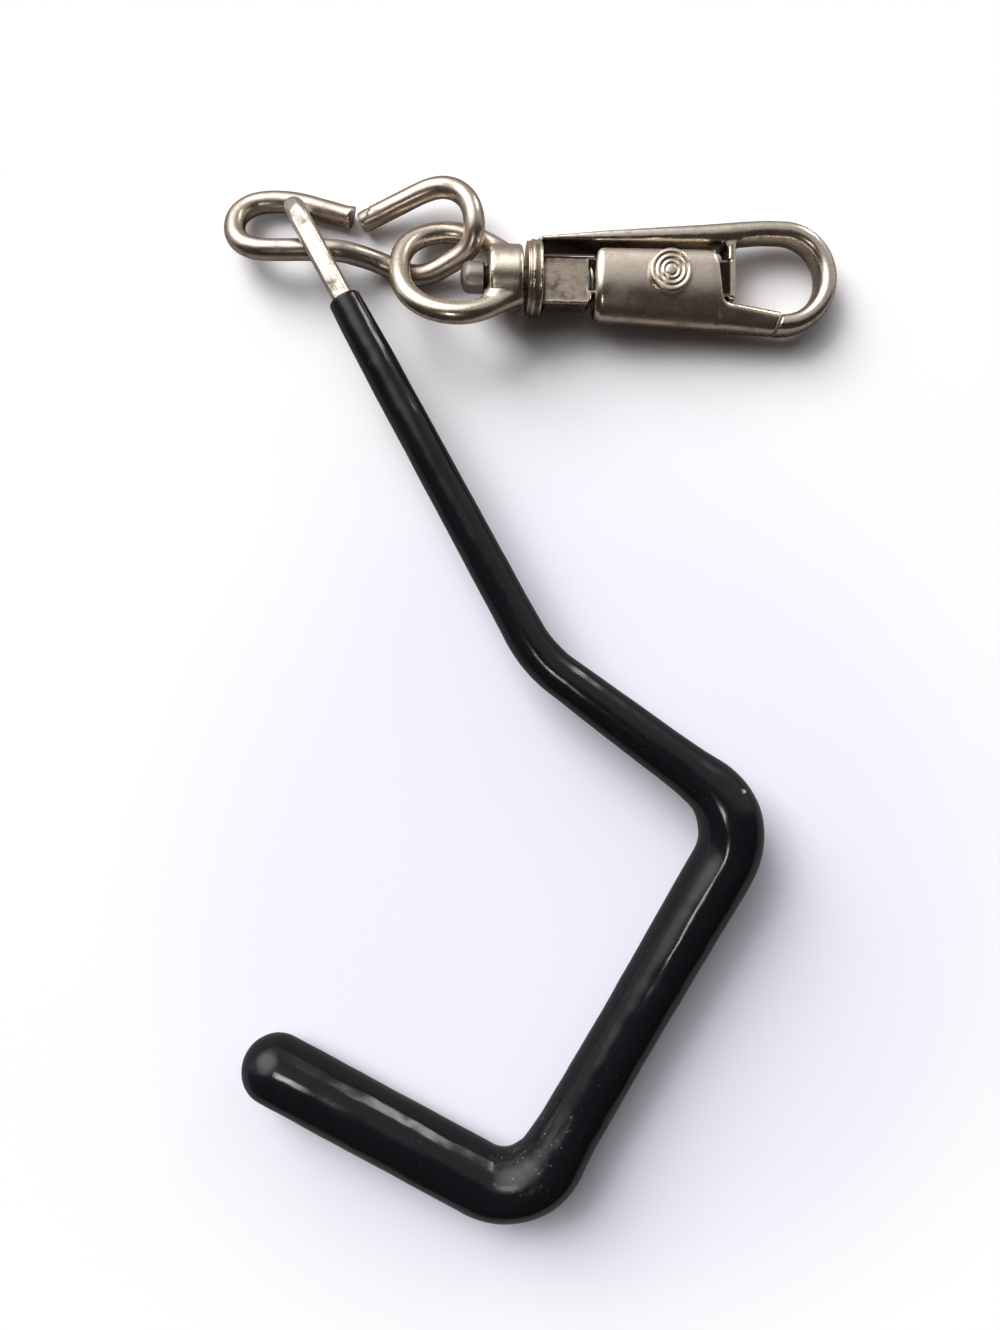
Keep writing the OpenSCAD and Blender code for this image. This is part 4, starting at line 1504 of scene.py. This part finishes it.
@dataclass(frozen=True)
class Lamp:
    """An area lamp that faces the object, or straight down where it has a turn."""

    name: str
    at: Point
    size: tuple[float, float]
    power: float
    colour: Point
    turn: Optional[float] = None
    seen_in_gloss: bool = True
    lights_paper: bool = True

    def add(self) -> None:
        """Puts the lamp in the scene."""
        data = bpy.data.lights.new(self.name, "AREA")
        data.shape = "RECTANGLE"
        data.size, data.size_y = self.size
        data.energy = self.power
        data.color = self.colour
        lamp = bpy.data.objects.new(self.name, data)
        lamp.location = self.at
        if self.turn is None:
            lamp.rotation_euler = (-Vector(self.at)).to_track_quat("-Z", "Y").to_euler()
        else:
            lamp.rotation_euler = (0.0, 0.0, math.radians(self.turn))
        lamp.visible_glossy = self.seen_in_gloss
        lamp.visible_diffuse = self.lights_paper
        bpy.context.scene.collection.objects.link(lamp)


LAMPS = (
    Lamp("window", (-1.25, 1.5, 1.4), (1.5, 1.5), 56.0, (1.0, 0.985, 0.965), seen_in_gloss=False),
    Lamp("edge", (0.86, 1.15, 0.45), (0.1, 0.7), 2.0, (1.0, 0.97, 0.92)),
    Lamp("near", (-0.035, -0.047, 0.205), (0.046, 0.014), 0.032, (1.0, 0.95, 0.88), 61.0, lights_paper=False),
)


@dataclass
class Studio:
    """The pale ground, the soft light from the upper left, and the camera above."""

    height: float = 200.0
    camera_at: tuple[float, float] = (35.5, -80.2)
    ground_half: float = 1.5
    window_way: Point = (-0.1, 0.99, 0.0)
    glow_way: Point = (-0.42, 0.62, 0.66)
    dark_level: float = 0.025
    wall_level: float = 0.27
    low_level: float = 0.12
    glow_level: float = 2.3

    def ground(self) -> None:
        """Lays the ground."""
        a = self.ground_half
        corners = np.array([(-a, -a, 0), (a, -a, 0), (a, a, 0), (-a, a, 0)])
        floor = mesh_object("ground", corners, [(0, 1, 2, 3)])
        floor.data.materials.append(PaperFinish().build())

    def world(self) -> None:
        """Fills the room: bright towards the window, dim overhead, dark behind the viewer."""
        world = bpy.data.worlds.new("room")
        bpy.context.scene.world = world
        n = cleared(world)
        way = n.get("ShaderNodeTexCoord", None, None, "Generated")
        front = n.vector("DOT_PRODUCT", way, self.window_way).band(-0.04, 0.2)
        low = n.vector("DOT_PRODUCT", way, (0.0, 0.0, 1.0)).band(0.95, 0.15)
        glow = n.vector("DOT_PRODUCT", way, self.glow_way).band(0.72, 1.0)
        level = self.dark_level + front * (self.wall_level + low * self.low_level + glow * self.glow_level)
        colour = n.mix(front, (1.0, 0.84, 0.75), (0.98, 0.98, 1.0))
        seen = n.get("ShaderNodeLightPath", None, None, "Is Camera Ray")
        lit = n.get("ShaderNodeBackground", None, {"Color": colour, "Strength": level})
        white = n.get("ShaderNodeBackground", None, {"Color": (1.0, 1.0, 1.0), "Strength": 1.0})
        surface = n.get("ShaderNodeMixShader", None, {0: seen, 1: lit, 2: white})
        n.add("ShaderNodeOutputWorld", None, {"Surface": surface})

    def camera(self) -> None:
        """Sets the camera straight above, with the photograph's view."""
        data = bpy.data.cameras.new("view")
        data.sensor_width = 36.0
        data.sensor_fit = "HORIZONTAL"
        data.lens = 36.0
        data.clip_start = 0.01
        camera = bpy.data.objects.new("view", data)
        x, y = self.camera_at
        camera.location = Vector((x + LAYOUT[0], y + LAYOUT[1], self.height)) * MM
        bpy.context.scene.collection.objects.link(camera)
        bpy.context.scene.camera = camera

    def build(self) -> None:
        """Sets up ground, light and camera."""
        bpy.context.scene.view_settings.view_transform = "Standard"
        self.ground()
        self.world()
        for lamp in LAMPS:
            lamp.add()
        self.camera()


NICKEL = MetalFinish(Metal.NICKEL, (0.97, 0.84, 0.7), (0.19, 0.14, 0.1), 0.28, 0.7, 0.4)
ROD = MetalFinish(Metal.ROD, (0.9, 0.83, 0.74), (0.3, 0.225, 0.165), 0.3, 1.3, 1.0, drawn=True)
LINK = MetalFinish(Metal.LINK, (0.7, 0.6, 0.505), (0.17, 0.12, 0.09), 0.3, 0.5, 0.4, drawn=True)
PIN = MetalFinish(Metal.PIN, (0.42, 0.385, 0.35), (0.13, 0.11, 0.09), 0.42, 0.5, 0.6)
SPRING = MetalFinish(Metal.SPRING, (0.62, 0.6, 0.57), (0.3, 0.27, 0.24), 0.26, 0.3, 0.2, drawn=True)
COATING = CoatingFinish(
    nicks=(
        Scuff((67.6, -136.4, 12.8), 1.3), Scuff((23.4, -45.2, 12.0), 0.8), Scuff((57.0, -156.0, 11.5), 0.8),
        Scuff((80.7, -103.9, 13.6), 0.8),
    ),
    dusty=(Scuff((38.5, -174.0, 12.5), 6.5), Scuff((46.0, -167.0, 12.0), 5.0)),
)
# The guide plate's box is its own tarnish. The boxes after it are painted shade: under the spine on the guide
# bar, along the bar's top edge, in the slot by the strut, on the collar's band by its groove and on the
# spine's inner wall.
GUIDE_PLATE = StainAndShade((2.95, -6.0, -3.5), (13.6, 3.7, 3.5), 0.38)
GUIDE_SHADE = StainAndShade((2.95, 2.2, -3.5), (13.6, 3.7, 3.5), 0.2)
GUIDE_EDGE_SHADE = StainAndShade((2.95, 3.05, -3.5), (13.6, 3.9, 3.5), 1.6)
STRUT_SLOT_SHADE = StainAndShade((34.0, -5.0, -3.0), (39.3, 3.9, 3.0), 0.9)
COLLAR_GROOVE_SHADE = StainAndShade((1.3, -7.5, -7.5), (2.4, 4.5, 7.5), 0.42)
SPINE_UNDERSIDE_SHADE = StainAndShade((2.95, 3.3, -3.5), (40.0, 6.75, 3.5), 0.75)
CASTING_GRIME_AND_SHADE = (GUIDE_PLATE, GUIDE_SHADE, GUIDE_EDGE_SHADE, STRUT_SLOT_SHADE, COLLAR_GROOVE_SHADE, SPINE_UNDERSIDE_SHADE)
SLEEVE_WORN_END = StainAndShade((12.9, -9.0, -6.0), (13.7, 6.0, 6.0), -0.45)


def soiled_and_shaded(piece: bpy.types.Object, *stains_and_shade: StainAndShade) -> bpy.types.Object:
    """Marks a casting's hollows and edges, and lays its boxes of tarnish, wear and painted shade on it.

    Args:
        piece: the casting.
        stains_and_shade: its boxes of tarnish, wear and painted shade, laid on in this order.

    Returns:
        The same casting.
    """
    mark_hollows(piece)
    for stain_and_shade in stains_and_shade:
        stain_and_shade.lay_on(piece)
    return piece


def dress(piece: bpy.types.Object, finish: bpy.types.Material, body: str, slot: str, *nodes: str) -> None:
    """Gives a piece its finish and body, and puts it in the place of CAD nodes.

    Args:
        piece: the finished mesh.
        finish: its material.
        body: the body that it rides on.
        slot: the record's material slot; not used.
        nodes: the CAD nodes that it stands for.
    """
    piece.data.materials.clear()
    piece.data.materials.append(finish)
    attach(piece, body)
    if nodes:
        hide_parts(*nodes)
    LOG.info("%s: %d faces on %s", piece.name, len(piece.data.polygons), body)


def main() -> None:
    """Builds every piece and the studio round them."""
    logging.basicConfig(level=logging.INFO, format="%(name)s %(message)s")
    nickel, rod, link_metal, pin_metal = NICKEL.build(), ROD.build(), LINK.build(), PIN.build()
    spring_metal, vinyl = SPRING.build(), COATING.build()
    tree = BarTree("bent_bar")
    hook = CoatedHook()
    dress(hook.rod(tree, rod), rod, "hook", "steel_rod", "hook_rod")
    dress(hook.coating(tree, vinyl), vinyl, "hook", "coating", "hook_coating")
    dress(WireLink().build(tree, link_metal), link_metal, "link", "link_wire", "wire_link")
    swivel, body = SwivelEye(), SnapBody()
    gate = SlidingGate(body)
    dress(soiled_and_shaded(swivel.eye(tree)), nickel, "eye", "nickel", "swivel_eye")
    dress(swivel.pin(), pin_metal, "snap", "pin_steel", "swivel_pin")
    dress(swivel.washer(), nickel, "snap", "nickel", "swivel_washer")
    dress(soiled_and_shaded(body.build(), *CASTING_GRIME_AND_SHADE), nickel, "snap", "nickel", "snap_body")
    dress(soiled_and_shaded(gate.sleeve(), SLEEVE_WORN_END), nickel, "gate", "nickel", "gate_sleeve")
    dress(gate.button(), nickel, "gate", "nickel", "gate_button")
    coil = GateSpring()
    spring = coil.build(tree, spring_metal)
    dress(spring, spring_metal, "snap", "spring_steel", "gate_spring")
    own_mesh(spring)
    Studio().build()


if __name__ == "__main__":
    main()
